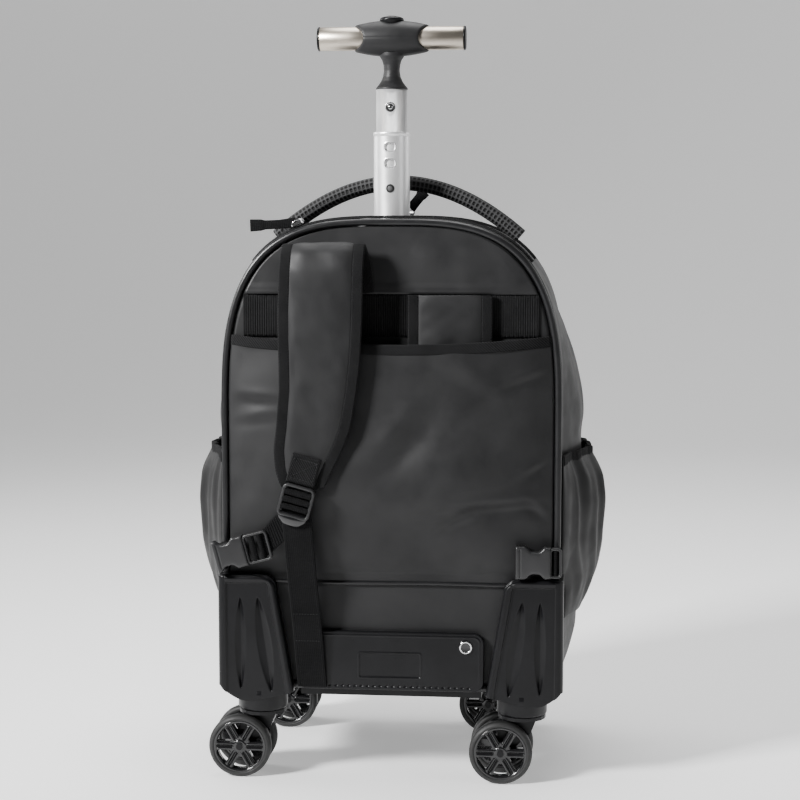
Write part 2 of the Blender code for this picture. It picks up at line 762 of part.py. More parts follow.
def buckle_body(name, bag, cutters):
    """A side-release buckle's female half, open at +X of its own frame, with a webbing slot."""
    half = BUCKLE_LENGTH / 2
    tall = BUCKLE_HEIGHT / 2
    thick = BUCKLE_THICK
    waist = BUCKLE_WAIST
    corner = BUCKLE_CORNER
    shape = [(-half + corner, -tall), (-0.1 * half, -tall), (0.26 * half, -tall + waist), (0.68 * half, -tall + waist)]
    shape += [(half - corner, -tall), (half, -tall + corner)]
    shape += [(x, -z) for x, z in reversed(shape)] + [(-half, tall - corner), (-half, -tall + corner)]
    body = plate(name, [shape], thick, bag, moulded_plastic())
    inside = tall - waist - BUCKLE_WALL
    deep = BUCKLE_LENGTH - 3 * SLOT_WIDTH
    cavity = box(
        name + "_mouth",
        (half - deep, -inside, -thick / 2 + BUCKLE_WALL),
        (half + 5 * MM, inside, thick / 2 - BUCKLE_WALL),
        cutters,
    )
    slot = box(
        name + "_slot",
        (-half + SLOT_EDGE, -tall + corner, -thick),
        (-half + SLOT_EDGE + SLOT_WIDTH, tall - corner, thick),
        cutters,
    )
    for cutter in (cavity, slot):
        cutter.parent = body
        boolean(body, cutter)
    return body, inside, deep


def place_flat(obj, x, stand, z, turn, flip=False):
    """Stands a flat piece in XZ at a distance in front of the panel."""
    place = Matrix.Translation((x, y_at(-stand), z)) @ Matrix.Rotation(-turn, 4, "Y")
    place = place @ Matrix.Rotation(math.pi / 2, 4, "X")
    if flip:
        place = place @ Matrix.Rotation(math.pi, 4, "Y")
    obj.matrix_world = place


def build_buckles(bag, cutters):
    left, inside, deep = buckle_body("buckle_left_female", bag, cutters)
    centre_z = HOUSING_TOP + LEFT_BUCKLE_RISE
    place_flat(left, LEFT_BUCKLE_X, LEFT_BUCKLE_STAND, centre_z, BUCKLE_TURN)
    half = BUCKLE_LENGTH / 2
    tall = BUCKLE_HEIGHT / 2
    base = [(half + GAP, -tall + MM), (half + MALE_LENGTH, -tall + 2 * MM)]
    base += [(x, -z) for x, z in reversed(base)]
    male = plate("buckle_left_male", [base], MALE_THICK, bag, moulded_plastic())
    tongue = box(
        "male_tongue",
        (half - deep + SLOT_EDGE, -inside + MM, -BUCKLE_THICK / 2 + BUCKLE_WALL + GAP),
        (half + 2 * MM, inside - MM, BUCKLE_THICK / 2 - BUCKLE_WALL - GAP),
        cutters,
    )
    slot_low = half + MALE_LENGTH - BUCKLE_CORNER - SLOT_WIDTH
    slot_half = tall - MALE_LENGTH / 2 + MM
    slot = box("male_slot", (slot_low, -slot_half, -MALE_THICK), (slot_low + SLOT_WIDTH, slot_half, MALE_THICK), cutters)
    tongue.parent = male
    slot.parent = male
    boolean(male, tongue, "UNION")
    boolean(male, slot)
    place_flat(male, LEFT_BUCKLE_X, LEFT_BUCKLE_STAND, centre_z, BUCKLE_TURN)
    right, _, _ = buckle_body("buckle_right_female", bag, cutters)
    place_flat(right, RIGHT_BUCKLE_X, RIGHT_BUCKLE_STAND, HOUSING_TOP + RIGHT_BUCKLE_RISE, 0, True)
    outer = HALF_WIDTH
    inner = outer - ANCHOR_WIDTH
    low = HOUSING_TOP + ANCHOR_RISE
    for side, sign, stand in (("left", -1, LEFT_BUCKLE_STAND), ("right", 1, RIGHT_BUCKLE_STAND)):
        front = y_at(-stand + BUCKLE_THICK / 2 + GAP)
        back = y_at(-PIPING_RADIUS - GAP)
        ends = sorted((sign * inner, sign * outer))
        box(f"buckle_{side}_anchor", (ends[0], front, low), (ends[1], back, low + ANCHOR_HEIGHT), bag, twill())


def pocket_point(sign, along, share, lift):
    """A point of a side pocket's inner face. along runs front to back, share bottom to top."""
    z = POCKET_BASE + share * (POCKET_TOP - POCKET_BASE)
    clear_of_housing = HOUSING_WRAP + 14 * MM
    front = np.interp(z, (HOUSING_TOP - 8 * MM, HOUSING_TOP + 16 * MM), (clear_of_housing, POCKET_FRONT))
    distance = front + along * (BAG_DEPTH - POCKET_FRONT - front)
    start = PIPING_RADIUS + GAP
    depth_share = (distance - start) / (BAG_DEPTH - 2 * start)
    swell = POCKET_SWELL * float(np.interp(share, *zip(*SWELL_ROWS))) * math.sin(math.pi * along) ** 0.7
    near = 0.8 * MM * math.sin(math.pi * along)
    x = HALF_WIDTH + gusset_push(z, depth_share) + GAP + near + swell + lift
    return (sign * x, y_at(distance), z)


def build_side_pockets(bag):
    alongs = np.linspace(0, 1, 11)
    shares = (0.0, 0.07, 0.22, 0.40, 0.70, 1.0)
    for side, sign in (("left", -1), ("right", 1)):
        front = [[pocket_point(sign, a, s, CLOTH) for a in alongs] for s in shares]
        back = [[pocket_point(sign, a, s, 0) for a in alongs] for s in shares]
        sheet("side_pocket_" + side, front, back, bag, coated_fabric())


def rounded_outline(low, high, radius, steps=4):
    """A rectangle with round corners as (x, y) points."""
    points = []
    corners = ((high[0], high[1], 0), (low[0], high[1], 90), (low[0], low[1], 180), (high[0], low[1], 270))
    for cx, cy, start in corners:
        ox = cx - math.copysign(radius, cx - (low[0] + high[0]) / 2)
        oy = cy - math.copysign(radius, cy - (low[1] + high[1]) / 2)
        for k in range(steps + 1):
            t = math.radians(start + 90 * k / steps)
            points.append((ox + radius * math.cos(t), oy + radius * math.sin(t)))
    return points


def build_kick_plate(bag, cutters):
    low = (-KICK_HALF, KICK_BASE)
    high = (KICK_HALF, KICK_BASE + KICK_HEIGHT)
    kick = plate("kick_plate", [rounded_outline(low, high, KICK_CORNER)], KICK_THICK, bag, moulded_plastic())
    front = y_at(-PIPING_RADIUS - GAP - KICK_THICK)
    stand_up(kick, front, KICK_THICK)
    middle = LABEL_Z
    label = box(
        "label_recess",
        (-LABEL_WIDTH / 2, front - 5 * MM, middle - LABEL_HEIGHT / 2),
        (LABEL_WIDTH / 2, front + LABEL_DEPTH, middle + LABEL_HEIGHT / 2),
        cutters,
    )
    boolean(kick, label)
    for side, sign in (("left", -1), ("right", 1)):
        rows = ((0, 0), (RIVET_RADIUS, 0), (RIVET_RADIUS, 0.6 * MM), (RIVET_RADIUS * 0.7, 1.4 * MM), (0, 1.5 * MM))
        rivet = turned("rivet_" + side, rows, bag, bright_steel(), 16)
        rivet.rotation_euler = (math.pi / 2, 0, 0)
        rivet.location = (sign * RIVET_X, front - GAP, RIVET_Z)


def flute_cutter(name, top, bottom, width, depth, cutters):
    """A long lens with its middle deepest, between two (x, z) ends on the housing's face."""
    rings = []
    run = np.array(bottom) - np.array(top)
    across = np.array([-run[1], run[0]]) / np.linalg.norm(run)
    for k in range(7):
        share = k / 6
        open_share = max(math.sin(math.pi * share), 0.03)
        centre = np.array(top) + run * share
        ring = []
        for j in range(6):
            t = 2 * math.pi * j / 6
            side = across * math.cos(t) * width / 2 * open_share
            y = -HOUSING_FRONT + math.sin(t) * depth * open_share
            ring.append((centre[0] + side[0], y_at(y), centre[1] + side[1]))
        rings.append(ring)
    return loft(name, rings, cutters)


def build_corner_housings(bag, cutters):
    outer = HALF_WIDTH + GAP + HOUSING_WALL
    shape = [
        (HOUSING_INNER_TOP + 6 * MM, HOUSING_TOP), (outer - 5 * MM, HOUSING_TOP), (outer, HOUSING_TOP - 5 * MM),
        (outer, HOUSING_BASE + 12 * MM), (outer - 6 * MM, HOUSING_BASE + 2 * MM), (outer - 16 * MM, HOUSING_BASE),
        (HOUSING_INNER_BASE + 12 * MM, HOUSING_BASE), (HOUSING_INNER_BASE + 3 * MM, HOUSING_BASE + 3 * MM),
        (HOUSING_INNER_BASE, HOUSING_BASE + 10 * MM), (HOUSING_INNER_TOP - 2 * MM, HOUSING_TOP - 13 * MM),
        (HOUSING_INNER_TOP, HOUSING_TOP - 5 * MM),
    ]
    middle = np.mean(shape, axis=0)
    # distance from the panel in shares of the housing's front, edge drawn in
    layers = ((1.0, 3.5 * MM), (0.85, 1.0 * MM), (0.5, 0.0))
    for side, sign in (("left", -1), ("right", 1)):
        rings = []
        for share, drawn in layers:
            rings.append([
                (sign * (x - math.copysign(drawn, x - middle[0])), y_at(-HOUSING_FRONT * share),
                 z - math.copysign(drawn, z - middle[1]))
                for x, z in shape
            ])
        rings.append([(sign * x, y_at(HOUSING_WRAP), z) for x, z in shape])
        housing = loft("corner_housing_" + side, rings, bag, moulded_plastic(), smooth=False)
        collar_top = BAG_BASE - 2 * GAP
        collar = rod(f"front_collar_{side}", COLLAR_RADIUS, HOUSING_BASE - 10 * MM, collar_top, cutters)
        collar.location = (sign * FRONT_STEM_X, y_at(FRONT_STEM_Y), 0)
        boolean(housing, collar, "UNION")
        bag_space = box(
            f"bag_space_{side}",
            (-HALF_WIDTH - GAP, y_at(-PIPING_RADIUS - GAP), BAG_BASE - GAP),
            (HALF_WIDTH + GAP, y_at(BAG_DEPTH), BAG_TOP),
            cutters,
        )
        boolean(housing, bag_space)
        bore = stem_bore(f"front_bore_{side}", cutters)
        bore.location = (sign * FRONT_STEM_X, y_at(FRONT_STEM_Y), 0)
        boolean(housing, bore)
        top, low = HOUSING_TOP - FLUTE_TOP_DROP, HOUSING_BASE + FLUTE_BASE_RISE
        thin_x = sign * (outer - 3 * OUTER_FLUTE_WIDTH)
        wide = flute_cutter(
            f"inner_flute_{side}",
            (sign * (HOUSING_INNER_TOP + 16 * MM), top),
            (sign * (HOUSING_INNER_BASE + 19.5 * MM), low),
            INNER_FLUTE_WIDTH,
            FLUTE_DEPTH,
            cutters,
        )
        thin = flute_cutter(
            f"outer_flute_{side}", (thin_x, top), (thin_x, low), OUTER_FLUTE_WIDTH, FLUTE_DEPTH, cutters
        )
        boolean(housing, wide)
        boolean(housing, thin)


def stem_bore(name, cutters):
    return rod(name, STEM_RADIUS + RUNNING, HOUSING_BASE - 20 * MM, BAG_BASE - 1.5 * MM, cutters, None, PIN_SIDES)


def build_base(bag, cutters):
    top = BAG_BASE - GAP
    notch = HOUSING_INNER_BASE - TRAY_INSET
    wide = HALF_WIDTH - 2 * TRAY_INSET
    near, far = TRAY_INSET, BAG_DEPTH - TRAY_INSET
    front_end = FRONT_STEM_Y + COLLAR_RADIUS + REAR_CLEAR
    rear_start = REAR_STEM_Y - COLLAR_RADIUS - REAR_EXTRA
    inner = REAR_STEM_X - COLLAR_RADIUS + REAR_CLEAR / 20
    shape = [(-notch, near), (notch, near), (notch, front_end), (wide, front_end), (wide, rear_start)]
    shape += [(inner - REAR_CLEAR, rear_start), (inner - REAR_CLEAR, far)]
    shape += [(-x, y) for x, y in reversed(shape[3:])] + [(-notch, front_end)]
    tray = plate("base_tray", [shape], TRAY_THICK, bag, moulded_plastic())
    tray.location = (0, y_at(0), top - TRAY_THICK / 2)
    for side, sign in (("left", -1), ("right", 1)):
        low = (min(sign * inner, sign * wide), y_at(rear_start + REAR_CLEAR), HOUSING_BASE - REAR_CLEAR)
        high = (max(sign * inner, sign * wide), y_at(BAG_DEPTH - REAR_CLEAR), top)
        housing = box("rear_housing_" + side, low, high, bag, moulded_plastic())
        bevel(housing, 3 * MM, 2)
        collar = rod(f"rear_collar_{side}", COLLAR_RADIUS, HOUSING_BASE - 10 * MM, top - MM, cutters)
        bore = stem_bore(f"rear_bore_{side}", cutters)
        for cutter, kind in ((collar, "UNION"), (bore, "DIFFERENCE")):
            cutter.location = (sign * REAR_STEM_X, y_at(REAR_STEM_Y), 0)
            boolean(housing, cutter, kind)


def wheel_windows(cutters):
    """Six trapezoid windows between the wheel's spokes."""
    outlines = []
    for k in range(WINDOWS):
        turn = 2 * math.pi * (k + 0.5) / WINDOWS
        corners = ((0.36, -0.30), (0.74, -0.40), (0.74, 0.40), (0.36, 0.30))
        outlines.append([
            (WHEEL_RADIUS * r * math.cos(turn + a), WHEEL_RADIUS * r * math.sin(turn + a)) for r, a in corners
        ])
    cutter = plate("wheel_windows", outlines, 3 * WHEEL_WIDTH, cutters)
    cutter.rotation_euler = (math.pi / 2, 0, 0)
    return cutter


def build_wheel(cutters):
    """One wheel about its own hub, with its axle along Y."""
    half = WHEEL_WIDTH / 2
    wheel = rod("wheel_blank", WHEEL_RADIUS, -half, half, cutters, None, TUBE_SIDES, "Y")
    bevel(wheel, 2 * MM, 1, 60)
    boolean(wheel, wheel_windows(cutters))
    bore = rod("wheel_bore", AXLE_RADIUS + RUNNING, -WHEEL_WIDTH, WHEEL_WIDTH, cutters, None, PIN_SIDES, "Y")
    boolean(wheel, bore)
    return baked(wheel).data


def build_fork(cutters):
    """A caster's swivel with its stem on the origin and its axle behind it in -X."""
    collar_base = HOUSING_BASE - 10 * MM
    disc_top = collar_base - GAP
    disc_low = disc_top - FORK_DISC
    fork = rod("fork_blank", COLLAR_RADIUS - MM, disc_low, disc_top, cutters)
    stem = rod("fork_stem", STEM_RADIUS, disc_low + MM, BAG_BASE - 3 * MM, cutters, None, PIN_SIDES)
    boss = 8 * MM
    shape = [(-TRAIL + boss * math.cos(t), WHEEL_RADIUS + boss * math.sin(t)) for t in np.linspace(2.6, 6.1, 8)]
    shape += [(8 * MM, disc_low - 12 * MM), (13 * MM, disc_low + MM), (-15 * MM, disc_low + MM)]
    web = plate("fork_web", [shape], TWIN_SPACING - WHEEL_WIDTH - 2 * MM, cutters)
    web.rotation_euler = (math.pi / 2, 0, 0)
    axle_reach = TWIN_SPACING / 2 + WHEEL_WIDTH / 2 + 0.5 * MM
    axle = rod("fork_axle", AXLE_RADIUS, -axle_reach, axle_reach, cutters, None, PIN_SIDES, "Y")
    axle.location = (-TRAIL, 0, WHEEL_RADIUS)
    for other in (stem, web, axle):
        boolean(fork, other, "UNION")
    return baked(fork).data


def build_casters(bag, cutters):
    wheel_mesh = build_wheel(cutters)
    fork_mesh = build_fork(cutters)
    fork_mesh.materials.append(moulded_plastic())
    wheel_mesh.materials.append(tyre_rubber())
    places = (
        ("front_left", -FRONT_STEM_X, FRONT_STEM_Y), ("front_right", FRONT_STEM_X, FRONT_STEM_Y),
        ("rear_left", -REAR_STEM_X, REAR_STEM_Y), ("rear_right", REAR_STEM_X, REAR_STEM_Y),
    )
    for where, x, y in places:
        swivel = bpy.data.objects.new("swivel_" + where, None)
        bag.objects.link(swivel)
        swivel.location = (x, y_at(y), 0)
        fork = finish(bpy.data.objects.new("caster_fork_" + where, fork_mesh), bag, None, False)
        fork.parent = swivel
        for side, offset in (("near", -TWIN_SPACING / 2), ("far", TWIN_SPACING / 2)):
            wheel = finish(bpy.data.objects.new(f"wheel_{where}_{side}", wheel_mesh), bag, None, False)
            wheel.parent = swivel
            wheel.location = (-TRAIL, offset, WHEEL_RADIUS)


def tube_profile(radius, wall, low, high):
    return ((radius, high), (radius, low), (radius - wall, low), (radius - wall, high))


def build_pole(bag, cutters):
    axis = (POLE_X, y_at(POLE_Y), 0)
    low = BAG_BASE + WALL + GAP
    outer = turned("outer_tube", tube_profile(OUTER_RADIUS, TUBE_WALL, low, BAG_TOP), bag, moulded_plastic(), closed=True)
    ring_low = BAG_TOP + GAP
    bore = LOWER_RADIUS + RUNNING
    ring_rows = (
        (bore, ring_low + EXIT_RING_HEIGHT), (EXIT_RING_RADIUS - 2 * MM, ring_low + EXIT_RING_HEIGHT),
        (EXIT_RING_RADIUS, ring_low + EXIT_RING_HEIGHT - 2 * MM), (EXIT_RING_RADIUS, ring_low), (bore, ring_low),
    )
    ring = turned("pole_exit_ring", ring_rows, bag, moulded_plastic(), closed=True)
    inner = LOWER_RADIUS - TUBE_WALL
    lip_low = LOWER_TOP - LIP_HEIGHT
    rows = (
        (LOWER_RADIUS + LIP, LOWER_TOP), (LOWER_RADIUS + LIP, lip_low), (LOWER_RADIUS, lip_low),
        (LOWER_RADIUS, LOWER_BASE), (inner, LOWER_BASE), (inner, LOWER_TOP),
    )
    lower = turned("lower_tube", rows, bag, brushed_aluminium(), closed=True)
    upper_rows = tube_profile(UPPER_RADIUS, TUBE_WALL, UPPER_BASE, UPPER_TOP)
    upper = turned("upper_tube", upper_rows, bag, brushed_aluminium(), closed=True)
    for tube in (outer, ring, lower, upper):
        tube.location = axis
    wide, tall = STOP_HOLE_WIDTH / 2, STOP_HOLE_HEIGHT / 2
    for k, drop in enumerate(STOP_HOLE_DROPS):
        shape = rounded_outline((-wide, -tall), (wide, tall), STOP_HOLE_WIDTH / 4, 2)
        hole = plate(f"stop_hole_{k}", [shape], LOWER_RADIUS, cutters)
        stand_up(hole, -1.5 * LOWER_RADIUS, LOWER_RADIUS, 0, LOWER_TOP - drop)
        hole.parent = lower
        boolean(lower, hole)


def build_handle(bag, cutters):
    axis = (POLE_X, y_at(POLE_Y), GRIP_HEIGHT)
    end = TEE_HALF - CAP_THICK - GAP
    half_rows = (
        (0, end), (SPIGOT_RADIUS, end), (SPIGOT_RADIUS, CORE_HALF), (GRIP_RADIUS, CORE_HALF),
        (GRIP_RADIUS + 1.4 * MM, CORE_HALF - 3 * MM), (CORE_RADIUS - MM, 16 * MM), (CORE_RADIUS, 0),
    )
    rows = [(r, -x) for r, x in half_rows[:-1]] + [(r, x) for r, x in reversed(half_rows)]
    core = turned("handle_core", rows, bag, soft_rubber(), axis="X")
    neck_base = UPPER_TOP + GAP - GRIP_HEIGHT
    plug = UPPER_RADIUS - TUBE_WALL - GAP
    neck_rows = (
        (0, -4 * MM), (10 * MM, -9 * MM), (8 * MM, -17 * MM), (7 * MM, -25 * MM), (8 * MM, -31 * MM),
        (UPPER_RADIUS, neck_base + 5 * MM), (UPPER_RADIUS + 0.3 * MM, neck_base),
        (plug, neck_base), (plug, neck_base - NECK_PLUG), (0, neck_base - NECK_PLUG),
    )
    neck = turned("handle_neck", neck_rows, cutters)
    neck.parent = core
    boolean(core, neck, "UNION")
    well_base = BUTTON_RISE - BUTTON_DEPTH - BUTTON_TRAVEL - GAP
    well = rod("button_well", BUTTON_RADIUS + GAP, well_base, 30 * MM, cutters)
    well.parent = core
    boolean(core, well)
    core.location = axis
    for side, sign in (("left", -1), ("right", 1)):
        near = CORE_HALF + GAP
        rows = tube_profile(GRIP_RADIUS, GRIP_RADIUS - SPIGOT_RADIUS - GAP, sign * near, sign * end)
        grip = turned("grip_" + side, rows, bag, grip_metal(), axis="X", closed=True)
        cap = rod("end_cap_" + side, GRIP_RADIUS + 0.3 * MM, 0, CAP_THICK, bag, moulded_plastic(), TUBE_SIDES, "X")
        grip.location = axis
        cap.location = Vector(axis) + Vector((sign * (TEE_HALF - CAP_THICK / 2) - CAP_THICK / 2, 0, 0))
    edge = 1.5 * MM
    rows = ((0, 0), (BUTTON_RADIUS - edge, 0), (BUTTON_RADIUS, -edge), (BUTTON_RADIUS, -BUTTON_DEPTH), (0, -BUTTON_DEPTH))
    button = turned("push_button", rows, bag, moulded_plastic())
    button.location = (axis[0], axis[1], GRIP_HEIGHT + BUTTON_RISE)


def build_grab_handle(bag):
    rings = []
    for k in range(15):
        x = GRAB_HALF * (2 * k / 14 - 1)
        drop = GRAB_DROP * (x / GRAB_HALF) ** 2
        slope = -2 * GRAB_DROP * x / GRAB_HALF ** 2
        size = math.hypot(1, slope)
        out = np.array([-slope / size, 0, 1 / size])
        centre = np.array([x, y_at(GRAB_Y), GRAB_TOP - drop])
        ring = []
        for across, lift in ((-1, -0.35), (-0.8, -1), (0.8, -1), (1, -0.35), (1, 0.35), (0.8, 1), (-0.8, 1), (-1, 0.35)):
            ring.append(centre + np.array([0, across * GRAB_WIDTH / 2, 0]) + out * lift * GRAB_THICK / 2)
        rings.append(ring)
    loft("grab_handle", rings, bag, coated_fabric())


def build_zip(name, y, slider_x, pull_rows, pull_turn, bag):
    """A coil along the bag's crown, with its slider and its pull tab."""
    front, back = [], []
    for x in np.linspace(-ZIP_REACH, ZIP_REACH, 21):
        for rows, lift in ((front, GAP + ZIP_HEIGHT), (back, GAP)):
            rows.append([(x, y_at(y + side * ZIP_WIDTH / 2), crown_z(x, lift)) for side in (-1, 1)])
    sheet("zip_coil_" + name, front, back, bag, twill())
    over = crown_z(slider_x, 2 * GAP + ZIP_HEIGHT) + 0.4 * MM
    lean = math.atan2(crown_z(slider_x + MM) - crown_z(slider_x - MM), 2 * MM)
    low = (-SLIDER_LENGTH / 2, -ZIP_WIDTH / 2, 0)
    slider = box("zip_slider_" + name, low, (SLIDER_LENGTH / 2, ZIP_WIDTH / 2, SLIDER_HEIGHT), bag, bright_steel())
    slider.matrix_world = Matrix.Rotation(-lean, 4, "Y")
    slider.location = (slider_x, y_at(y), over)
    bevel(slider, 0.8 * MM)
    rows = [(x, -y, BAG_TOP + rise, pull_turn) for x, rise in pull_rows]
    ribbon("zip_pull_" + name, rows, PULL_WIDTH, PULL_THICK, bag, twill())


def build_zips(bag):
    build_zip("back", BACK_ZIP_Y, -80 * MM, BACK_PULL_ROWS, math.radians(90), bag)
    build_zip("main", MAIN_ZIP_Y, 5 * MM, MAIN_PULL_ROWS, math.radians(-38), bag)


def main():
    clear_scene()
    bag = collection("wheeled_backpack")
    cutters = collection("cutters", True)
    build_gusset(bag, cutters)
    build_panels(bag)
    build_yoke_and_band(bag)
    build_sleeve(bag)
    build_straps(bag)
    build_adjuster(bag, cutters)
    build_buckles(bag, cutters)
    build_side_pockets(bag)
    build_kick_plate(bag, cutters)
    build_corner_housings(bag, cutters)
    build_base(bag, cutters)
    build_casters(bag, cutters)
    build_pole(bag, cutters)
    build_handle(bag, cutters)
    build_grab_handle(bag)
    build_zips(bag)
    for helper in cutters.objects:
        helper.hide_render = True
        helper.display_type = "WIRE"


main()
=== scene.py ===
import math

import bmesh
import bpy
import numpy as np
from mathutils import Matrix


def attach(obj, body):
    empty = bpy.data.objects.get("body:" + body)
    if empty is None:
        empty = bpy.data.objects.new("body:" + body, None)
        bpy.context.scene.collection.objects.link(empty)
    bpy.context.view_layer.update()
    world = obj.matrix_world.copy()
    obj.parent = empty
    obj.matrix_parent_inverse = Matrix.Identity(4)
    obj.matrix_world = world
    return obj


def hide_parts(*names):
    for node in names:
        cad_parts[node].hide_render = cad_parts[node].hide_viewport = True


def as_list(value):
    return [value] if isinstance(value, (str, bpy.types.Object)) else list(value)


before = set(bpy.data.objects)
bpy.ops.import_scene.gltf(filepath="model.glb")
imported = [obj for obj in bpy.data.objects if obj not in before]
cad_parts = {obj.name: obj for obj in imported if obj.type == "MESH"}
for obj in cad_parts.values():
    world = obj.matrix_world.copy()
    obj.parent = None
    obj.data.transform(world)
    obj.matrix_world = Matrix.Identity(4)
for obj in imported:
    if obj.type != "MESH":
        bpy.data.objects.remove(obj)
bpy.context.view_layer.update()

mm = 0.001
gap = 0.3 * mm          # left between a surface and what it lies on
sides = (("left", -1), ("right", 1))

# The bag's own sizes, the same as in the solids
bag = {
    "half": 144.7 * mm, "top": 480.6 * mm, "base": 78 * mm, "depth": 200 * mm, "crown": 170 * mm,
    "powerX": 3.2, "powerZ": 3.0, "corner": 16 * mm, "backY": -90.595 * mm, "piping": 3 * mm,
    "bulge": 19.5 * mm, "dome": 14 * mm, "flat": 0.14, "yokeEdge": 417.5 * mm, "bandHeight": 35 * mm,
    "sleeveTop": 382.5 * mm, "sleeveSag": 7 * mm, "sleeveBase": 180 * mm, "sleeveBulge": 15 * mm,
}
bulgeRows = ((0, 0), (0.04, 0.33), (0.10, 0.62), (0.17, 0.78), (0.30, 0.82), (0.53, 0.92),
             (0.57, 1), (0.62, 0.86), (0.69, 0.60), (0.75, 0.30), (0.82, 0))


def yAt(distance):
    return bag["backY"] + distance


# A table's columns against its first one, eased by a running mean of the given width
def easedRows(x, rows, width):
    table = np.array(rows, float)
    fine = np.linspace(table[0, 0], table[-1, 0], 801)
    kernel = np.hanning(max(int(width * 800), 3) + 2)[1:-1]
    half = len(kernel) // 2
    columns = []
    for k in range(1, table.shape[1]):
        values = np.interp(fine, table[:, 0], table[:, k])
        padded = np.concatenate([np.full(half, values[0]), values, np.full(half, values[-1])])
        columns.append(np.interp(x, fine, np.convolve(padded, kernel / kernel.sum(), "valid")[:801]))
    return columns[0] if len(columns) == 1 else columns


# Smooth noise: a sum of sines in random directions, with unequal lengths round the given one
def ripples(a, b, length, seed, count=14):
    rng = np.random.default_rng(seed)
    total = np.zeros(np.broadcast(a, b).shape)
    turns, sizes, phases = (rng.uniform(low, high, count) for low, high in ((0, np.pi), (0.6, 1.6), (0, 6.28)))
    for turn, size, phase in zip(turns, sizes, phases):
        total = total + np.sin((a * np.cos(turn) + b * np.sin(turn)) * 6.283 / (length * size) + phase)
    return total / math.sqrt(count / 2)


def hump(x, centre, width):
    return np.exp(-((x - centre) / width) ** 2)


def clamp(value):
    return np.clip(value, 0, 1)


# A smooth step from 0 to 1: v * v * (3 - 2v)
def easeStep(value):
    value = clamp(value)
    return value * value * (3 - 2 * value)


def unit(vectors):
    return vectors / np.maximum(np.linalg.norm(vectors, axis=-1, keepdims=True), 1e-12)


# Points or faces from their parts, spread to one shape
def together(*parts):
    return np.stack(np.broadcast_arrays(*parts), -1)


def rowOf(low, high, count):
    return np.linspace(low, high, count)[None, :]


def columnOf(low, high, count):
    return np.linspace(low, high, count)[:, None]


def ringOf(count):
    return np.linspace(0, 2 * np.pi, count, endpoint=False)


def ovalOf(width, height, count):
    t = ringOf(count)
    return together(np.cos(t) * width / 2, np.sin(t) * height / 2)


# The run along a line of points, from 0 at its first
def runAlong(points):
    return np.concatenate([[0], np.cumsum(np.linalg.norm(np.diff(points, axis=0), axis=-1))])


def addObject(name, data):
    made = bpy.data.objects.new(name, data)
    bpy.context.scene.collection.objects.link(made)
    return made


# Four corners for each cell of a grid of points, wrapped round where asked
def gridFaces(rows, columns, wrapRows=False, wrapColumns=False):
    r = np.arange(rows if wrapRows else rows - 1)
    c = np.arange(columns if wrapColumns else columns - 1)
    r, c = np.meshgrid(r, c, indexing="ij")
    rn, cn = (r + 1) % rows, (c + 1) % columns
    return together(r * columns + c, r * columns + cn, rn * columns + cn, rn * columns + c).reshape(-1, 4)


slotOf = {}             # what each surface counts as, by the material's name


# A mesh object from points, four-cornered and three-cornered faces and a UV a point, turned to face outwards
def makePiece(name, points, quads, triangles=None, uv=None, material=None, body="bag", slot=None,
              replaces=(), weld=False):
    points = np.asarray(points, float).reshape(-1, 3)
    quads = np.asarray(quads, int).reshape(-1, 4)
    triangles = np.zeros((0, 3), int) if triangles is None else np.asarray(triangles, int).reshape(-1, 3)
    centred = points - points.mean(0)
    a, b, c, d = (centred[quads[:, k]] for k in range(4))
    volume = (a * (np.cross(b, c) + np.cross(c, d))).sum()
    a, b, c = (centred[triangles[:, k]] for k in range(3))
    volume += (a * np.cross(b, c)).sum()
    if volume < 0:
        quads, triangles = quads[:, ::-1], triangles[:, ::-1]
    loops = np.concatenate([quads.ravel(), triangles.ravel()])
    starts = np.concatenate([np.arange(len(quads)) * 4, len(quads) * 4 + np.arange(len(triangles)) * 3])
    mesh = bpy.data.meshes.new(name)
    mesh.vertices.add(len(points))
    mesh.vertices.foreach_set("co", points.ravel())
    mesh.loops.add(len(loops))
    mesh.loops.foreach_set("vertex_index", loops)
    mesh.polygons.add(len(starts))
    mesh.polygons.foreach_set("loop_start", starts)
    mesh.update(calc_edges=True)
    if uv is not None:
        layer = mesh.uv_layers.new(name="UVMap")
        layer.data.foreach_set("uv", np.asarray(uv, float).reshape(-1, 2)[loops].ravel())
    mesh.validate()
    if weld:
        made = bmesh.new()
        made.from_mesh(mesh)
        bmesh.ops.remove_doubles(made, verts=made.verts, dist=2e-6)
        bmesh.ops.dissolve_degenerate(made, edges=made.edges, dist=1e-7)
        bmesh.ops.recalc_face_normals(made, faces=made.faces)
        made.to_mesh(mesh)
        made.free()
    mesh.polygons.foreach_set("use_smooth", np.ones(len(mesh.polygons), bool))
    mesh.materials.append(material)
    piece = addObject(name, mesh)
    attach(piece, body)
    slot or slotOf[material.name]
    if replaces:
        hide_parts(*replaces)
    return piece


# The border of a grid as a loop of point numbers, in the winding of its faces
def gridRim(rows, columns):
    return np.concatenate([
        np.arange(columns), np.arange(1, rows) * columns + columns - 1,
        (rows - 1) * columns + np.arange(columns - 2, -1, -1), np.arange(rows - 2, 0, -1) * columns,
    ])


# Faces that join a closed loop of points with its double, size points on
def wallFaces(loop, size, flip=False):
    after = np.roll(loop, -1)
    if flip:
        loop, after = after, loop
    return together(after, loop, loop + size, after + size)


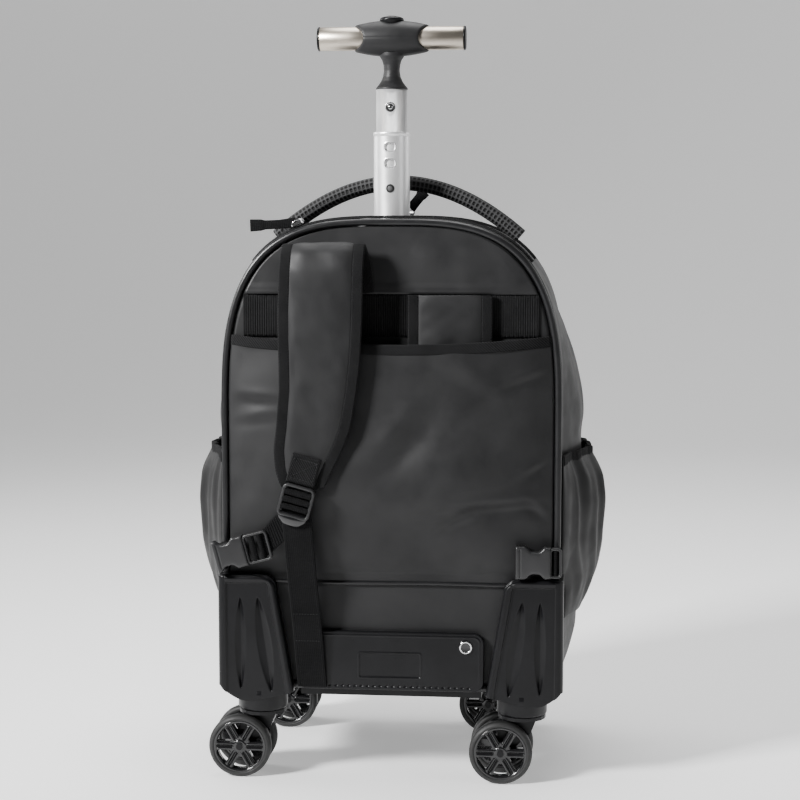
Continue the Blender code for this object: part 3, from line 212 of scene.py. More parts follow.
# A sheet with a front and a back, closed round its border. uv defaults to the run along both ways in metres
def closedSheet(name, front, back, uv=None, wrapColumns=False, **more):
    rows, columns = front.shape[:2]
    size = rows * columns
    faces = gridFaces(rows, columns, False, wrapColumns)
    if wrapColumns:
        ends = np.arange(columns)
        walls = [wallFaces(ends, size), wallFaces(ends + size - columns, size, True)]
    else:
        walls = [wallFaces(gridRim(rows, columns), size)]
    uv = gridUv(front) if uv is None else uv
    return makePiece(name, np.concatenate([front.reshape(-1, 3), back.reshape(-1, 3)]),
                     np.concatenate([faces, faces[:, ::-1] + size, *walls]),
                     uv=np.concatenate([uv.reshape(-1, 2)] * 2), **more)


# UV of a grid in metres: the mean run along its columns and its rows
def gridUv(grid):
    across = np.linalg.norm(np.diff(grid, axis=1), axis=-1).mean(0)
    along = np.linalg.norm(np.diff(grid, axis=0), axis=-1).mean(1)
    u = np.concatenate([[0], np.cumsum(across)])
    v = np.concatenate([[0], np.cumsum(along)])
    return np.stack(np.meshgrid(u - u.mean(), v), -1)


def gridNormals(grid):
    return unit(np.cross(np.gradient(grid, axis=0), np.gradient(grid, axis=1)))


# A closed profile of (side, out) points carried along a path. side is square to the path and nearest to the hint
def sweep(name, path, profile, hint, closed=False, build=True, scale=None, **more):
    path, profile = np.asarray(path, float), np.asarray(profile, float)
    if closed:
        tangent = unit(np.roll(path, -1, 0) - np.roll(path, 1, 0))
    else:
        tangent = unit(np.gradient(path, axis=0))
    hint = np.broadcast_to(np.asarray(hint, float), path.shape)
    side = unit(hint - tangent * (hint * tangent).sum(-1, keepdims=True))
    out = np.cross(side, tangent)
    scale = np.ones((len(path), 2)) if scale is None else np.asarray(scale, float)
    rings = (path[:, None] + profile[None, :, :1] * (scale[:, :1] * side)[:, None]
             + profile[None, :, 1:] * (scale[:, 1:] * out)[:, None])
    if not build:
        return rings
    return closedTube(name, rings, np.stack(np.meshgrid(runAlong(profile), runAlong(path)), -1), closed, **more)


# Rings of points joined in order; an open tube gets a fan at each end
def closedTube(name, rings, uv=None, closed=False, **more):
    count, around = rings.shape[:2]
    uv = np.zeros((count, around, 2)) if uv is None else uv
    quads = gridFaces(count, around, closed, True)
    points, uvs = rings.reshape(-1, 3), uv.reshape(-1, 2)
    triangles = None
    if not closed:
        here = np.arange(around)
        there = (here + 1) % around
        size = count * around
        last = size - around
        points = np.concatenate([points, [rings[0].mean(0)], [rings[-1].mean(0)]])
        uvs = np.concatenate([uvs, [uv[0].mean(0)], [uv[-1].mean(0)]])
        triangles = np.concatenate([together(there, here, size), together(here + last, there + last, size + 1)])
    return makePiece(name, points, quads, triangles, uv=uvs, **more)


# A closed profile of (radius, height) points turned about an axis through a centre
def spun(name, profile, centre, axis="Z", steps=64, relief=None, **more):
    profile = np.asarray(profile, float)
    turn = ringOf(steps)
    radius = np.repeat(profile[:, :1], steps, 1)
    height = np.repeat(profile[:, 1:], steps, 1)
    if relief is not None:
        radius, height = relief(radius, height, turn[None, :])
    across, up = radius * np.cos(turn), radius * np.sin(turn)
    order = {"Z": (across, up, height), "X": (height, across, up), "Y": (up, height, across)}[axis]
    grid = np.stack(order, -1) + np.asarray(centre, float)
    uv = np.stack(np.meshgrid(turn * max(profile[:, 0].max(), mm), runAlong(profile)), -1)
    return makePiece(name, grid, gridFaces(len(profile), steps, True, True), uv=uv, weld=True, **more)


def roundedRectangle(width, height, radius, steps=6):
    t = np.radians(np.concatenate([np.linspace(k * 90, k * 90 + 90, steps + 1) for k in range(4)]))
    signX = np.repeat([1, -1, -1, 1], steps + 1)
    signY = np.repeat([1, 1, -1, -1], steps + 1)
    return together(signX * (width / 2 - radius) + radius * np.cos(t),
                    signY * (height / 2 - radius) + radius * np.sin(t))


# A surface and what it counts as; more settings are named after their sockets
def newMaterial(name, slot, colour, rough, metal=0.0, **sockets):
    slotOf[name] = slot
    material = bpy.data.materials.new(name)
    material.use_nodes = True
    shader = material.node_tree.nodes["Principled BSDF"]
    shader.inputs["Base Color"].default_value = (*colour, 1)
    shader.inputs["Roughness"].default_value = rough
    shader.inputs["Metallic"].default_value = metal
    for socket, value in sockets.items():
        shader.inputs[socket.replace("_", " ")].default_value = value
    return material


def addNode(material, kind, values=None, **settings):
    node = material.node_tree.nodes.new(kind)
    for key, value in settings.items():
        setattr(node, key, value)
    for key, value in (values or {}).items():
        if isinstance(value, bpy.types.NodeSocket):
            material.node_tree.links.new(value, node.inputs[key])
        else:
            node.inputs[key].default_value = value
    return node


def coordinates(material, kind="Object", scale=(1, 1, 1), turn=(0, 0, 0)):
    source = addNode(material, "ShaderNodeTexCoord").outputs[kind]
    return addNode(material, "ShaderNodeMapping", {"Vector": source, "Scale": scale, "Rotation": turn}).outputs[0]


def noise(material, vector, scale, detail=3.0, rough=0.5):
    values = {"Vector": vector, "Scale": scale, "Detail": detail, "Roughness": rough}
    return addNode(material, "ShaderNodeTexNoise", values).outputs["Fac"]


# Waves with the given pitch along one axis, or between two of them; scale is 0.1 * pi / pitch for an axis
def bands(material, vector, pitch, direction="X"):
    values = {"Vector": vector, "Scale": (0.6283 if direction == "DIAGONAL" else 0.3142) / pitch}
    return addNode(material, "ShaderNodeTexWave", values, bands_direction=direction).outputs["Fac"]


def maths(material, operation, a, b=0.0):
    return addNode(material, "ShaderNodeMath", {0: a, 1: b}, operation=operation).outputs[0]


def ramp(material, value, low, high, fromLow=0.0, fromHigh=1.0):
    values = {"Value": value, "From Min": fromLow, "From Max": fromHigh, "To Min": low, "To Max": high}
    return addNode(material, "ShaderNodeMapRange", values).outputs[0]


def colourBetween(material, value, low, high, fromLow=0.3, fromHigh=0.7):
    node = addNode(material, "ShaderNodeValToRGB", {"Fac": value})
    node.color_ramp.elements[0].position, node.color_ramp.elements[1].position = fromLow, fromHigh
    node.color_ramp.elements[0].color, node.color_ramp.elements[1].color = (*low, 1), (*high, 1)
    return node.outputs["Color"]


def feed(material, socket, output):
    shader = material.node_tree.nodes["Principled BSDF"]
    material.node_tree.links.new(output, shader.inputs[socket])


# Bumps are laid on each other, each of (height, strength, distance)
def bumps(material, *layers):
    normal = None
    for height, strength, distance in layers:
        values = {"Height": height, "Strength": strength, "Distance": distance}
        if normal is not None:
            values["Normal"] = normal
        normal = addNode(material, "ShaderNodeBump", values).outputs[0]
    feed(material, "Normal", normal)


# creases and grain are each (noise scale, depth)
clothLook = {"dark": (0.0085, 0.0085, 0.009), "light": (0.0145, 0.0145, 0.015), "rough": (0.44, 0.58),
             "weave": 0.45 * mm, "weaveDepth": 0.1 * mm, "creases": (42, 1.6 * mm), "grain": (900, 0.2 * mm)}


# Coated cloth: fine plain weave under a soft polyurethane film, with scuffs and faint creases
def makeCoatedFabric(name, tint):
    look = clothLook
    material = newMaterial(name, "coated_fabric", look["light"], 0.6, Sheen_Weight=0.02, Sheen_Roughness=0.5,
                           Specular_IOR_Level=0.25)
    place = coordinates(material)
    cloudy = noise(material, place, 26, 4)
    dark, light = (tuple(c * tint for c in look[k]) for k in ("dark", "light"))
    feed(material, "Base Color", colourBetween(material, cloudy, dark, light))
    feed(material, "Roughness", ramp(material, noise(material, place, 60, 3), *look["rough"], 0.3, 0.7))
    flat = coordinates(material, "UV")
    weave = maths(material, "MULTIPLY", *(bands(material, flat, look["weave"], axis) for axis in "XY"))
    creaseScale, creaseDepth = look["creases"]
    grainScale, grainDepth = look["grain"]
    creased = noise(material, coordinates(material, scale=(1, 1, 0.45)), creaseScale, 2, 0.45)
    bumps(material, (creased, 0.2, creaseDepth), (noise(material, place, grainScale, 2), 0.15, grainDepth),
          (weave, 0.10, look["weaveDepth"]))
    return material


# Twill tape: diagonal ribs on the piece's own UV, with painted light on the ribs' crests and painted shade between
# them, and fuzz and clouds that vary the tone at random
def makeTwill(name, pitch, dark, light, crossPitch=0.0, depth=0.35 * mm, direction="DIAGONAL"):
    material = newMaterial(name, "twill_webbing", light, 0.78, Sheen_Weight=0.02, Sheen_Roughness=0.45,
                           Specular_IOR_Level=0.1)
    flat = coordinates(material, "UV")
    ribs = bands(material, flat, pitch, direction)
    if crossPitch:
        ribs = maths(material, "MULTIPLY", ribs, bands(material, flat, crossPitch, "Y"))
    fuzz = noise(material, coordinates(material), 700, 3)
    cloudy = noise(material, coordinates(material), 45, 2)
    # Painted light and shade: the colour rises with the ribs' height, as the bump does
    both = maths(material, "ADD", maths(material, "MULTIPLY", ribs, 0.6), maths(material, "MULTIPLY", fuzz, 0.4))
    both = maths(material, "MULTIPLY", both, ramp(material, cloudy, 0.8, 1.2, 0.3, 0.7))
    feed(material, "Base Color", colourBetween(material, both, dark, light, 0.15, 0.75))
    bumps(material, (ribs, 0.9, depth), (fuzz, 0.4, 0.15 * mm))
    return material


# Plastic, vinyl or rubber: cloudy colour and gloss, a fine grain and a slow unevenness
def makePlastic(name, slot, colour, rough, grain=0.12, **sockets):
    material = newMaterial(name, slot, colour, rough, **sockets)
    place = coordinates(material)
    spread = tuple(c * 1.5 for c in colour)
    feed(material, "Base Color", colourBetween(material, noise(material, place, 35, 3), colour, spread))
    feed(material, "Roughness", ramp(material, noise(material, place, 120, 4), rough * 0.88, rough * 1.15, 0.3, 0.7))
    bumps(material, (noise(material, place, 1600, 2), grain, 0.12 * mm),
          (noise(material, place, 30, 2), grain * 0.3, 0.8 * mm))
    return material


# Brushed metal: noise drawn out along the brushing
def makeBrushed(name, slot, colour, rough, along, strength, metal=1.0):
    material = newMaterial(name, slot, colour, rough, metal)
    scale = tuple(0.012 if axis == along else 1.0 for axis in "XYZ")
    lines = noise(material, coordinates(material, scale=scale), 2600, 3)
    cloudy = noise(material, coordinates(material), 40, 2)
    low = tuple(c * 0.9 for c in colour)
    feed(material, "Base Color", colourBetween(material, lines, low, colour))
    feed(material, "Roughness", ramp(material, cloudy, rough * 0.85, rough * 1.2, 0.3, 0.7))
    bumps(material, (lines, strength, 0.05 * mm))
    return material


cloth = makeCoatedFabric("coatedFabric", 1.0)
sideCloth = makeCoatedFabric("sideCloth", 1.15)
# Painted shade: the same coated cloth at 0.35 of its colour, for the side pockets, which stand in shade
shadedPocketCloth = makeCoatedFabric("shadedPocketCloth", 0.35)
bindingTwill = makeTwill("bindingTwill", 2.4 * mm, (0.0008, 0.0008, 0.001), (0.012, 0.012, 0.0125))
ribbedWebbing = makeTwill("ribbedWebbing", 1.9 * mm, (0.0012, 0.0012, 0.0014), (0.018, 0.018, 0.0185), 1.0 * mm,
                          direction="X")
crossWebbing = makeTwill("crossWebbing", 1.2 * mm, (0.001, 0.001, 0.0012), (0.008, 0.008, 0.0085), 1.6 * mm,
                         direction="X")
pipingVinyl = makePlastic("pipingVinyl", "piping_vinyl", (0.006, 0.006, 0.0065), 0.34, 0.02, Specular_IOR_Level=0.4)
satinPlastic = makePlastic("satinPlastic", "moulded_plastic", (0.004, 0.004, 0.0045), 0.32, 0.2,
                           Specular_IOR_Level=0.20)
glossPlastic = makePlastic("glossPlastic", "moulded_plastic", (0.006, 0.006, 0.0065), 0.16, 0.03, Coat_Weight=0.2,
                           Coat_Roughness=0.08)
bucklePlastic = makePlastic("bucklePlastic", "moulded_plastic", (0.012, 0.012, 0.0125), 0.34, Specular_IOR_Level=0.42)
tyreRubber = makePlastic("tyreRubber", "tyre_rubber", (0.008, 0.008, 0.008), 0.6, 0.2)
softRubber = makePlastic("softRubber", "soft_rubber", (0.009, 0.009, 0.0095), 0.5, 0.3, Specular_IOR_Level=0.3,
                         Sheen_Weight=0.03)
brushedAluminium = makeBrushed("brushedAluminium", "brushed_aluminium", (0.92, 0.92, 0.925), 0.36, "Z", 0.05, 0.68)
gripMetal = makeBrushed("gripMetal", "grip_metal", (0.60, 0.54, 0.46), 0.36, "X", 0.15)
holeShade = makeBrushed("holeShade", "brushed_aluminium", (0.07, 0.07, 0.072), 0.6, "Z", 0.02, 0.1)
brightSteel = makeBrushed("brightSteel", "bright_steel", (0.82, 0.82, 0.83), 0.14, "Z", 0.02)
seamThread = makeTwill("seamThread", 0.8 * mm, (0.012, 0.012, 0.0125), (0.05, 0.05, 0.052))
print("materials made")

# The photograph's camera: angles in degrees, lens and film in millimetres
view = {"place": (0.15625, -1.6269, 0.486), "down": 5.84, "left": 5.5, "lens": 82.7, "film": 36}
camera = addObject("camera", bpy.data.cameras.new("camera"))
camera.location = view["place"]
camera.rotation_euler = (math.radians(90 - view["down"]), 0, math.radians(view["left"]))
camera.data.lens = view["lens"]
camera.data.sensor_width = view["film"]
bpy.context.scene.camera = camera


stage = {"reach": 4.0, "back": 2.2, "radius": 1.2, "height": 3.5, "paper": (0.88, 0.88, 0.88), "glow": 0.34}


# The floor rises behind the bag in a quarter round: y is the run, z the height of the profile
def makeStage():
    look = stage
    radius, back = look["radius"], look["back"]
    turn = np.linspace(0, np.pi / 2, 24)
    y = np.concatenate([[-look["reach"]], back + radius * np.sin(turn), [back + radius]])
    z = np.concatenate([[0], radius - radius * np.cos(turn), [look["height"]]])
    grid = together(np.array([[-look["reach"], look["reach"]]]), y[:, None], z[:, None])
    mesh = bpy.data.meshes.new("floor")
    mesh.from_pydata(grid.reshape(-1, 3).tolist(), [], gridFaces(len(y), 2).tolist())
    mesh.polygons.foreach_set("use_smooth", np.ones(len(mesh.polygons), bool))
    floor = addObject("floor", mesh)
    paper = newMaterial("paleFloor", None, look["paper"], 0.9, Specular_IOR_Level=0.1, Emission_Strength=look["glow"],
                        Emission_Color=(1, 1, 1, 1))
    bumps(paper, (noise(paper, coordinates(paper), 400, 2), 0.05, 0.2 * mm))
    mesh.materials.append(paper)


# Square lamps: place, what each looks at, its size, power and spread in degrees
lamps = {
    "key": ((-1.35, -1.15, 1.25), (-0.05, 0, 0.46), 0.4, 17, 70),
    "fill": ((1.7, -0.7, 0.9), (0, 0, 0.3), 0.8, 5, 180),
    "top": ((0.0, 0.3, 2.0), (0, 0, 0.3), 1.2, 32, 180),
    "rimLeft": ((-1.5, 0.6, 0.9), (0, 0, 0.3), 0.8, 12, 180),
    "rimRight": ((1.5, 0.8, 0.9), (0, 0, 0.3), 0.8, 6, 180),
}
surround = {"light": 0.06, "seen": 0.6}        # the world's strength as light, and as the camera sees it


def makeLights():
    for name, (place, target, size, power, spread) in lamps.items():
        lamp = bpy.data.lights.new(name, "AREA")
        lamp.size, lamp.energy, lamp.spread = size, power, math.radians(spread)
        holder = addObject(name, lamp)
        holder.location = place
        away = np.array(target, float) - np.array(place, float)
        rise = math.atan2(away[2], math.hypot(away[0], away[1]))
        holder.rotation_euler = (math.pi / 2 + rise, 0, math.atan2(away[1], away[0]) - math.pi / 2)
    world = bpy.data.worlds.new("studio")
    bpy.context.scene.world = world
    world.use_nodes = True
    nodes, links = world.node_tree.nodes, world.node_tree.links
    nodes["Background"].inputs[0].default_value = (1, 1, 1, 1)
    ray = nodes.new("ShaderNodeLightPath")
    level = nodes.new("ShaderNodeMapRange")
    level.inputs["To Min"].default_value, level.inputs["To Max"].default_value = surround["light"], surround["seen"]
    links.new(ray.outputs["Is Camera Ray"], level.inputs["Value"])
    links.new(level.outputs[0], nodes["Background"].inputs[1])


makeStage()
makeLights()
print("stage, lights and camera made")

# CAD nodes that stay as they are, with their finish
finishes = {
    satinPlastic: ("base_tray", "rear_housing_left", "rear_housing_right", "pole_exit_ring", "outer_tube",
                   "caster_fork_front_left", "caster_fork_front_right", "caster_fork_rear_left",
                   "caster_fork_rear_right", "end_cap_left", "end_cap_right"),
    bindingTwill: ("buckle_left_anchor", "buckle_right_anchor"),
}
nodeDefaults = {
    "coated_fabric": cloth, "twill_webbing": bindingTwill, "piping_vinyl": pipingVinyl, "tyre_rubber": tyreRubber,
    "moulded_plastic": satinPlastic, "brushed_aluminium": brushedAluminium, "grip_metal": gripMetal,
    "soft_rubber": softRubber, "bright_steel": brightSteel,
}
for nodeName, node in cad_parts.items():
    chosen = next((m for m, names in finishes.items() if nodeName in names), None)
    if chosen is None:
        old = node.data.materials[0].name.split(".")[0] if node.data.materials else ""
        chosen = nodeDefaults.get(old, satinPlastic)
    node.data.materials.clear()
    node.data.materials.append(chosen)
print("carried-over nodes painted")


# Evenly spaced points on a line of points
def resample(points, count, closed=False):
    points = np.asarray(points, float)
    if closed:
        points = np.concatenate([points, points[:1]])
    run = runAlong(points)
    at = np.linspace(0, run[-1], count, endpoint=not closed)
    return np.stack([np.interp(at, run, points[:, k]) for k in range(points.shape[1])], -1)


# The outline: a crown with x = half * cos^(2/powerX) and z = shoulder + rise * sin^(2/powerZ), straight sides
# and round base corners, as evenly spaced (x, z) points
def outlineAt(inset, count):
    half, rise = bag["half"] - inset, bag["crown"] - inset
    shoulder, base = bag["top"] - bag["crown"], bag["base"] + inset
    corner = max(bag["corner"] - inset, 2 * mm)
    t = np.linspace(0, np.pi, 241)
    c, s = np.cos(t), np.maximum(np.sin(t), 0)
    crown = together(half * np.sign(c) * np.abs(c) ** (2 / bag["powerX"]), shoulder + rise * s ** (2 / bag["powerZ"]))
    t = np.linspace(0, np.pi / 2, 12)
    left = together(-half + corner * (1 - np.cos(t)), base + corner * (1 - np.sin(t)))
    return resample(np.concatenate([crown, left, left[::-1] * (-1, 1)]), count, True)


# Half the outline's width at a height: half * (1 - rise^powerZ)^(1/powerX)
def halfAt(z):
    rise = np.clip(z - (bag["top"] - bag["crown"]), 0, None) / bag["crown"]
    return bag["half"] * np.clip(1 - rise ** bag["powerZ"], 0, None) ** (1 / bag["powerX"])


# The outline's height over a place across, or that of a line lifted off it
def crownZ(x, lift=0.0):
    share = np.minimum(np.abs(x) / (bag["half"] + lift), 1)
    rise = (1 - share ** bag["powerX"]) ** (1 / bag["powerZ"])
    return bag["top"] - bag["crown"] + (bag["crown"] + lift) * rise


# How far the gusset stands out: bulge by height times sin(pi * share of depth)
def gussetPush(z, depthShare):
    share = (z - bag["base"]) / (bag["top"] - bag["base"])
    along = clamp((depthShare - bag["flat"]) / (1 - 2 * bag["flat"]))
    return bag["bulge"] * easedRows(share, bulgeRows + ((1.0, 0),), 0.06) * np.sin(np.pi * along)


gussetLook = {"around": 360, "deep": 44, "wall": 1.6 * mm, "folds": 0.9 * mm, "foldsFrom": 90 * mm,
              "foldsTo": 470 * mm, "fade": 30 * mm}


# The ring of cloth between the panels: the outline pushed out by its bulge, with soft folds along the normal
def makeGusset():
    look = gussetLook
    start = bag["piping"] + gap
    share = columnOf(0, 1, look["deep"])
    line = outlineAt(0, look["around"])
    x, z = line[None, :, 0], line[None, :, 1]
    y = yAt(start + share * (bag["depth"] - 2 * start))
    grid = together(x + np.sign(x) * gussetPush(z, share) * (np.abs(x) > bag["half"] / 2), y, z)
    normals = gridNormals(grid)
    normals *= np.sign((normals * (grid - [0, 0, 0.28])).sum(-1, keepdims=True))
    calm = np.sin(np.pi * share) ** 0.6 * clamp((z - look["foldsFrom"]) / look["fade"])
    calm = calm * clamp((look["foldsTo"] - z) / look["fade"])
    folds = ripples(z, y * 0.8, 0.075, 3) * 0.6 + ripples(z, y, 0.032, 4) * 0.22 - 0.25
    grid = grid + normals * (folds * look["folds"] * calm)[..., None]
    closedSheet("gusset_cloth", grid, grid - normals * look["wall"], uv=together(y, z),
                wrapColumns=True, material=sideCloth, replaces=("gusset",))


# A sheet from rings of points that start at a pole
def polarSheet(name, front, back, **more):
    rows, columns = front.shape[:2]
    size = rows * columns
    faces = gridFaces(rows, columns, False, True)
    rim = wallFaces(np.arange(columns) + size - columns, size, True)
    points = np.concatenate([front.reshape(-1, 3), back.reshape(-1, 3)])
    quads = np.concatenate([faces, faces[:, ::-1] + size, rim])
    return makePiece(name, points, quads, uv=points[:, [0, 2]], weld=True, **more)


panelLook = {"rings": 46, "around": 240, "thick": 3 * mm,
             "domeRows": ((0, 1), (0.25, 1), (0.70, 0.80), (0.92, 0.32), (1, 0))}


# The two end panels: rings of the outline drawn in to its middle, lifted by a dome and soft creases
def makePanels():
    look = panelLook
    thick = np.array([0, look["thick"], 0])
    line = outlineAt(2 * bag["piping"] + gap, look["around"])
    middle = (bag["top"] + bag["base"]) / 2
    share = columnOf(0, 1, look["rings"])
    x, z = line[None, :, 0] * share, middle + (line[None, :, 1] - middle) * share
    calm = clamp((1 - share) / 0.12)
    dome = bag["dome"] * easedRows(share, look["domeRows"], 0.12)
    folds = (ripples(x, z * 0.5, 0.11, 8) * 0.9 + ripples(x, z, 0.05, 9) * 0.4) * mm * calm
    y = yAt(bag["depth"] + dome) + folds
    front = together(x, y, z)
    polarSheet("front_panel_cloth", front, front - thick, material=sideCloth,
               replaces=("front_panel",))
    y = yAt(0) - ripples(x, z, 0.06, 10) * 0.15 * mm * calm
    front = together(x, y, z)
    polarSheet("back_panel_cloth", front, front + thick, material=cloth,
               replaces=("back_panel",))


pipingLook = {"radius": 3.0 * mm, "sides": 16, "count": 520, "wave": 0.02, "waveEvery": 26}


# Each piping is a round cord along the outline, whose radius waves a little
def makePipings():
    look = pipingLook
    line = outlineAt(bag["piping"], look["count"])
    wave = 1 + look["wave"] * np.sin(np.arange(look["count"]) * 2 * np.pi / look["waveEvery"])
    profile = ovalOf(2 * look["radius"], 2 * look["radius"], look["sides"])
    for name, place, sign in (("back_piping", 0, -1), ("front_piping", bag["depth"], 1)):
        path = together(line[:, 0], yAt(place), line[:, 1])
        sweep(name + "_cord", path, profile, (0, sign, 0), True, scale=together(wave, wave),
              material=pipingVinyl, replaces=(name,))


yokeLook = {"hem": 7 * mm, "hemThick": 0.5 * mm, "creases": 0.35 * mm}


# The yoke: rows of the crown above the band, with a folded hem on its lower edge
def makeYoke():
    look = yokeLook
    inset = 2 * bag["piping"] + 4 * gap
    half, rise, shoulder = bag["half"] - inset, bag["crown"] - inset, bag["top"] - bag["crown"]
    first = math.asin(((bag["yokeEdge"] - shoulder) / rise) ** (bag["powerZ"] / 2))
    t = (np.pi / 2 - (np.pi / 2 - first) * (1 - np.linspace(0, 1, 70)) ** 1.4)[:, None]
    u = rowOf(-1, 1, 120)
    z = shoulder + rise * np.sin(t) ** (2 / bag["powerZ"])
    x = u * half * np.maximum(np.cos(t), 0) ** (2 / bag["powerX"])
    below = z - bag["yokeEdge"]
    hem = look["hemThick"] * (below < look["hem"]) + 0.4 * mm * hump(below, 0, 0.8 * mm)
    calm = clamp((1 - np.abs(u)) / 0.1) * clamp((bag["top"] - 12 * mm - z) / (20 * mm))
    lift = 1.6 * mm + hem + calm * (0.5 * mm + ripples(x, z, 0.05, 12) * look["creases"])
    front = together(x, yAt(-lift), z)
    back = together(x, yAt(-0.3 * mm), z)
    closedSheet("yoke_cloth", front, back, uv=together(x, z), weld=True, material=cloth, replaces=("top_yoke",))


bandLook = {"rib": 2.0 * mm, "ribDepth": 0.38 * mm, "tooth": 3.6 * mm, "toothDepth": 0.8 * mm, "columns": 900}


# The webbing band: upright ribs of |sin|, and small teeth along both edges
def makeBand():
    look = bandLook
    top = bag["yokeEdge"] - gap
    reach = halfAt(bag["yokeEdge"]) - 2 * bag["piping"] - 6 * gap
    x = rowOf(-reach, reach, look["columns"])
    v = columnOf(0, 1, 18)
    tooth = look["toothDepth"] * np.abs(np.sin(np.pi * x / look["tooth"]))
    z = (top - bag["bandHeight"] - tooth) + v * (bag["bandHeight"] + tooth * 2 - 0.6 * mm)
    rib = look["ribDepth"] * np.abs(np.sin(np.pi * x / look["rib"])) ** 0.6 * clamp(np.minimum(v, 1 - v) / 0.12)
    sag = ripples(x, z, 0.06, 21) * 0.25 * mm
    front = together(x, yAt(-1.7 * mm - rib - sag), z)
    back = together(x, yAt(-0.35 * mm), z)
    closedSheet("webbing_band_tape", front, back, uv=together(x, z), material=ribbedWebbing,
                replaces=("webbing_band",))


sleeveLook = {
    "rows": 130, "columns": 170, "thick": 1.4 * mm, "turnedIn": 8 * mm, "binding": 9 * mm, "bindingThick": 2.6 * mm,
    "seamZ": 171.2 * mm, "seamRadius": 1.6 * mm,
}


# The sleeve's top edge sags to its middle by 1 - u^2
def sleeveTopAt(u):
    return bag["sleeveTop"] - bag["sleeveSag"] * (1 - u ** 2)


# A point of the sleeve: flat at its sides and base, and standing off by bulge * (1 - u^4) * (1 - (1 - share)^6)
def sleeveGrid(u, share, lift=0.0):
    low = bag["sleeveBase"] - sleeveLook["turnedIn"]
    z = low + share * (sleeveTopAt(u) - low)
    up = clamp((z - bag["sleeveBase"]) / (sleeveTopAt(u) - bag["sleeveBase"]))
    bulge = bag["sleeveBulge"] * (1 - u ** 4) * (1 - (1 - up) ** 6)
    x = u * (halfAt(z) - 2 * bag["piping"] - 3 * gap)
    return together(x, yAt(-0.9 * mm - bulge - lift), z)


# Creases of the sleeve: place x and z, turn in degrees, length, width and depth
sleeveCreases = np.array((
    (84, 240, 5, 45, 7, 1.7), (48.7, 227, 25, 22, 6, 1.4), (128, 235.5, -35, 14, 5, 1.1),
    (121, 271, 32, 18, 5, 1.2), (116, 348.5, 20, 20, 5, 1.0), (-113, 329.5, -3, 20, 6, 0.7),
    (-113, 312, 8, 20, 6, 0.6), (8, 294.5, 48, 40, 14, 1.8), (67, 346.5, -35, 30, 12, 1.1),
)) * (mm, mm, math.radians(1), mm, mm, mm)


creasePeak = 2.33        # brings off * exp(-off^2) to a height of 1


# Each crease is depth * off * exp(-off^2) across itself, so a ridge with a valley under it
def creases(x, z):
    total = 0 * x
    for atX, atZ, turn, length, width, depth in sleeveCreases:
        along = (x - atX) * math.cos(turn) + (z - atZ) * math.sin(turn)
        off = ((z - atZ) * math.cos(turn) - (x - atX) * math.sin(turn)) / width
        total = total + depth * creasePeak * off * np.exp(-off ** 2) * hump(along, 0, length)
    return total


sleeveBelly = {"height": 6.0 * mm, "x": 55 * mm, "width": 75 * mm, "lipZ": 222 * mm, "lipX": 20 * mm, "slope": 0.12,
               "rise": 28 * mm, "fallFrom": 30 * mm, "fall": 75 * mm}


# Folds the photograph shows, each a height times bells exp(-((x - middle) / width)^2): a long one from the strap
# to the lower left, a hollow at the right, one low down, ripples at the left, and a belly over a lip
def sleeveFolds(x, z):
    belly = sleeveBelly
    slope = (x + 20 * mm) * 0.55 + (z - 260 * mm)
    long = 2.2 * mm * hump(slope, 0, 35 * mm) * hump(x, -30 * mm, 60 * mm)
    hollow = -2.6 * mm * hump(x, 85 * mm, 30 * mm) * hump(z, 300 * mm, 70 * mm)
    low = 1.4 * mm * hump(x + (z - 200 * mm) * 0.4, 50 * mm, 30 * mm) * hump(z, 215 * mm, 30 * mm)
    wave = np.sin((z - 180 * mm) / (21 * mm))
    left = 1.3 * mm * wave * hump(x, -118 * mm, 22 * mm) * hump(z, 300 * mm, 80 * mm)
    lip = z - belly["lipZ"] - belly["slope"] * (x - belly["lipX"])
    swell = easeStep(lip / belly["rise"]) * (1 - easeStep((lip - belly["fallFrom"]) / belly["fall"]))
    swell = belly["height"] * hump(x, belly["x"], belly["width"]) * swell
    fine = ripples(x, z * 0.6, 0.09, 31) * 0.7 * mm + ripples(x, z, 0.045, 32) * 0.14 * mm
    return long + hollow + low + left + swell + fine + creases(x, z)


# The sleeve, tape over its top edge, and the piped seam between its base and the kick plate
def makeSleeve():
    look = sleeveLook
    half = np.array([0, look["thick"] / 2, 0])
    u = rowOf(-1, 1, look["columns"])
    share = columnOf(0, 1, look["rows"])
    flat = sleeveGrid(u, share)
    calm = clamp((1 - np.abs(u)) / 0.08) * clamp(share / 0.05) * np.clip((1 - share) / 0.05, 0.1, 1)
    grid = flat.copy()
    grid[..., 1] -= sleeveFolds(flat[..., 0], flat[..., 2]) * calm
    sleeve = closedSheet("strap_sleeve_cloth", grid - half, grid + half, uv=grid[..., [0, 2]], material=cloth,
                         replaces=("strap_sleeve",))
    u = np.linspace(-1, 1, 120)
    path = sleeveGrid(u, 1 - 4.3 * mm / 0.2, 0.2 * mm)
    path[:, 2] = sleeveTopAt(u) - look["binding"] / 2 + 0.5 * mm
    profile = roundedRectangle(look["binding"], look["bindingThick"], 1.1 * mm, 4)
    sweep("sleeve_binding", path, profile, (0, 0, 1), material=bindingTwill)
    x = np.linspace(-bag["half"] + 6.5 * mm, bag["half"] - 6.5 * mm, 80)
    path = together(x, yAt(-2.0 * mm), look["seamZ"] + 0.4 * mm * np.sin(x * 40))
    cord = ovalOf(2 * look["seamRadius"], 2 * look["seamRadius"], 12)
    sweep("seam_piping", path, cord, (0, 0, 1), material=pipingVinyl)


makeGusset()
makePanels()
makePipings()
makeYoke()
makeBand()
makeSleeve()
print("bag body made")

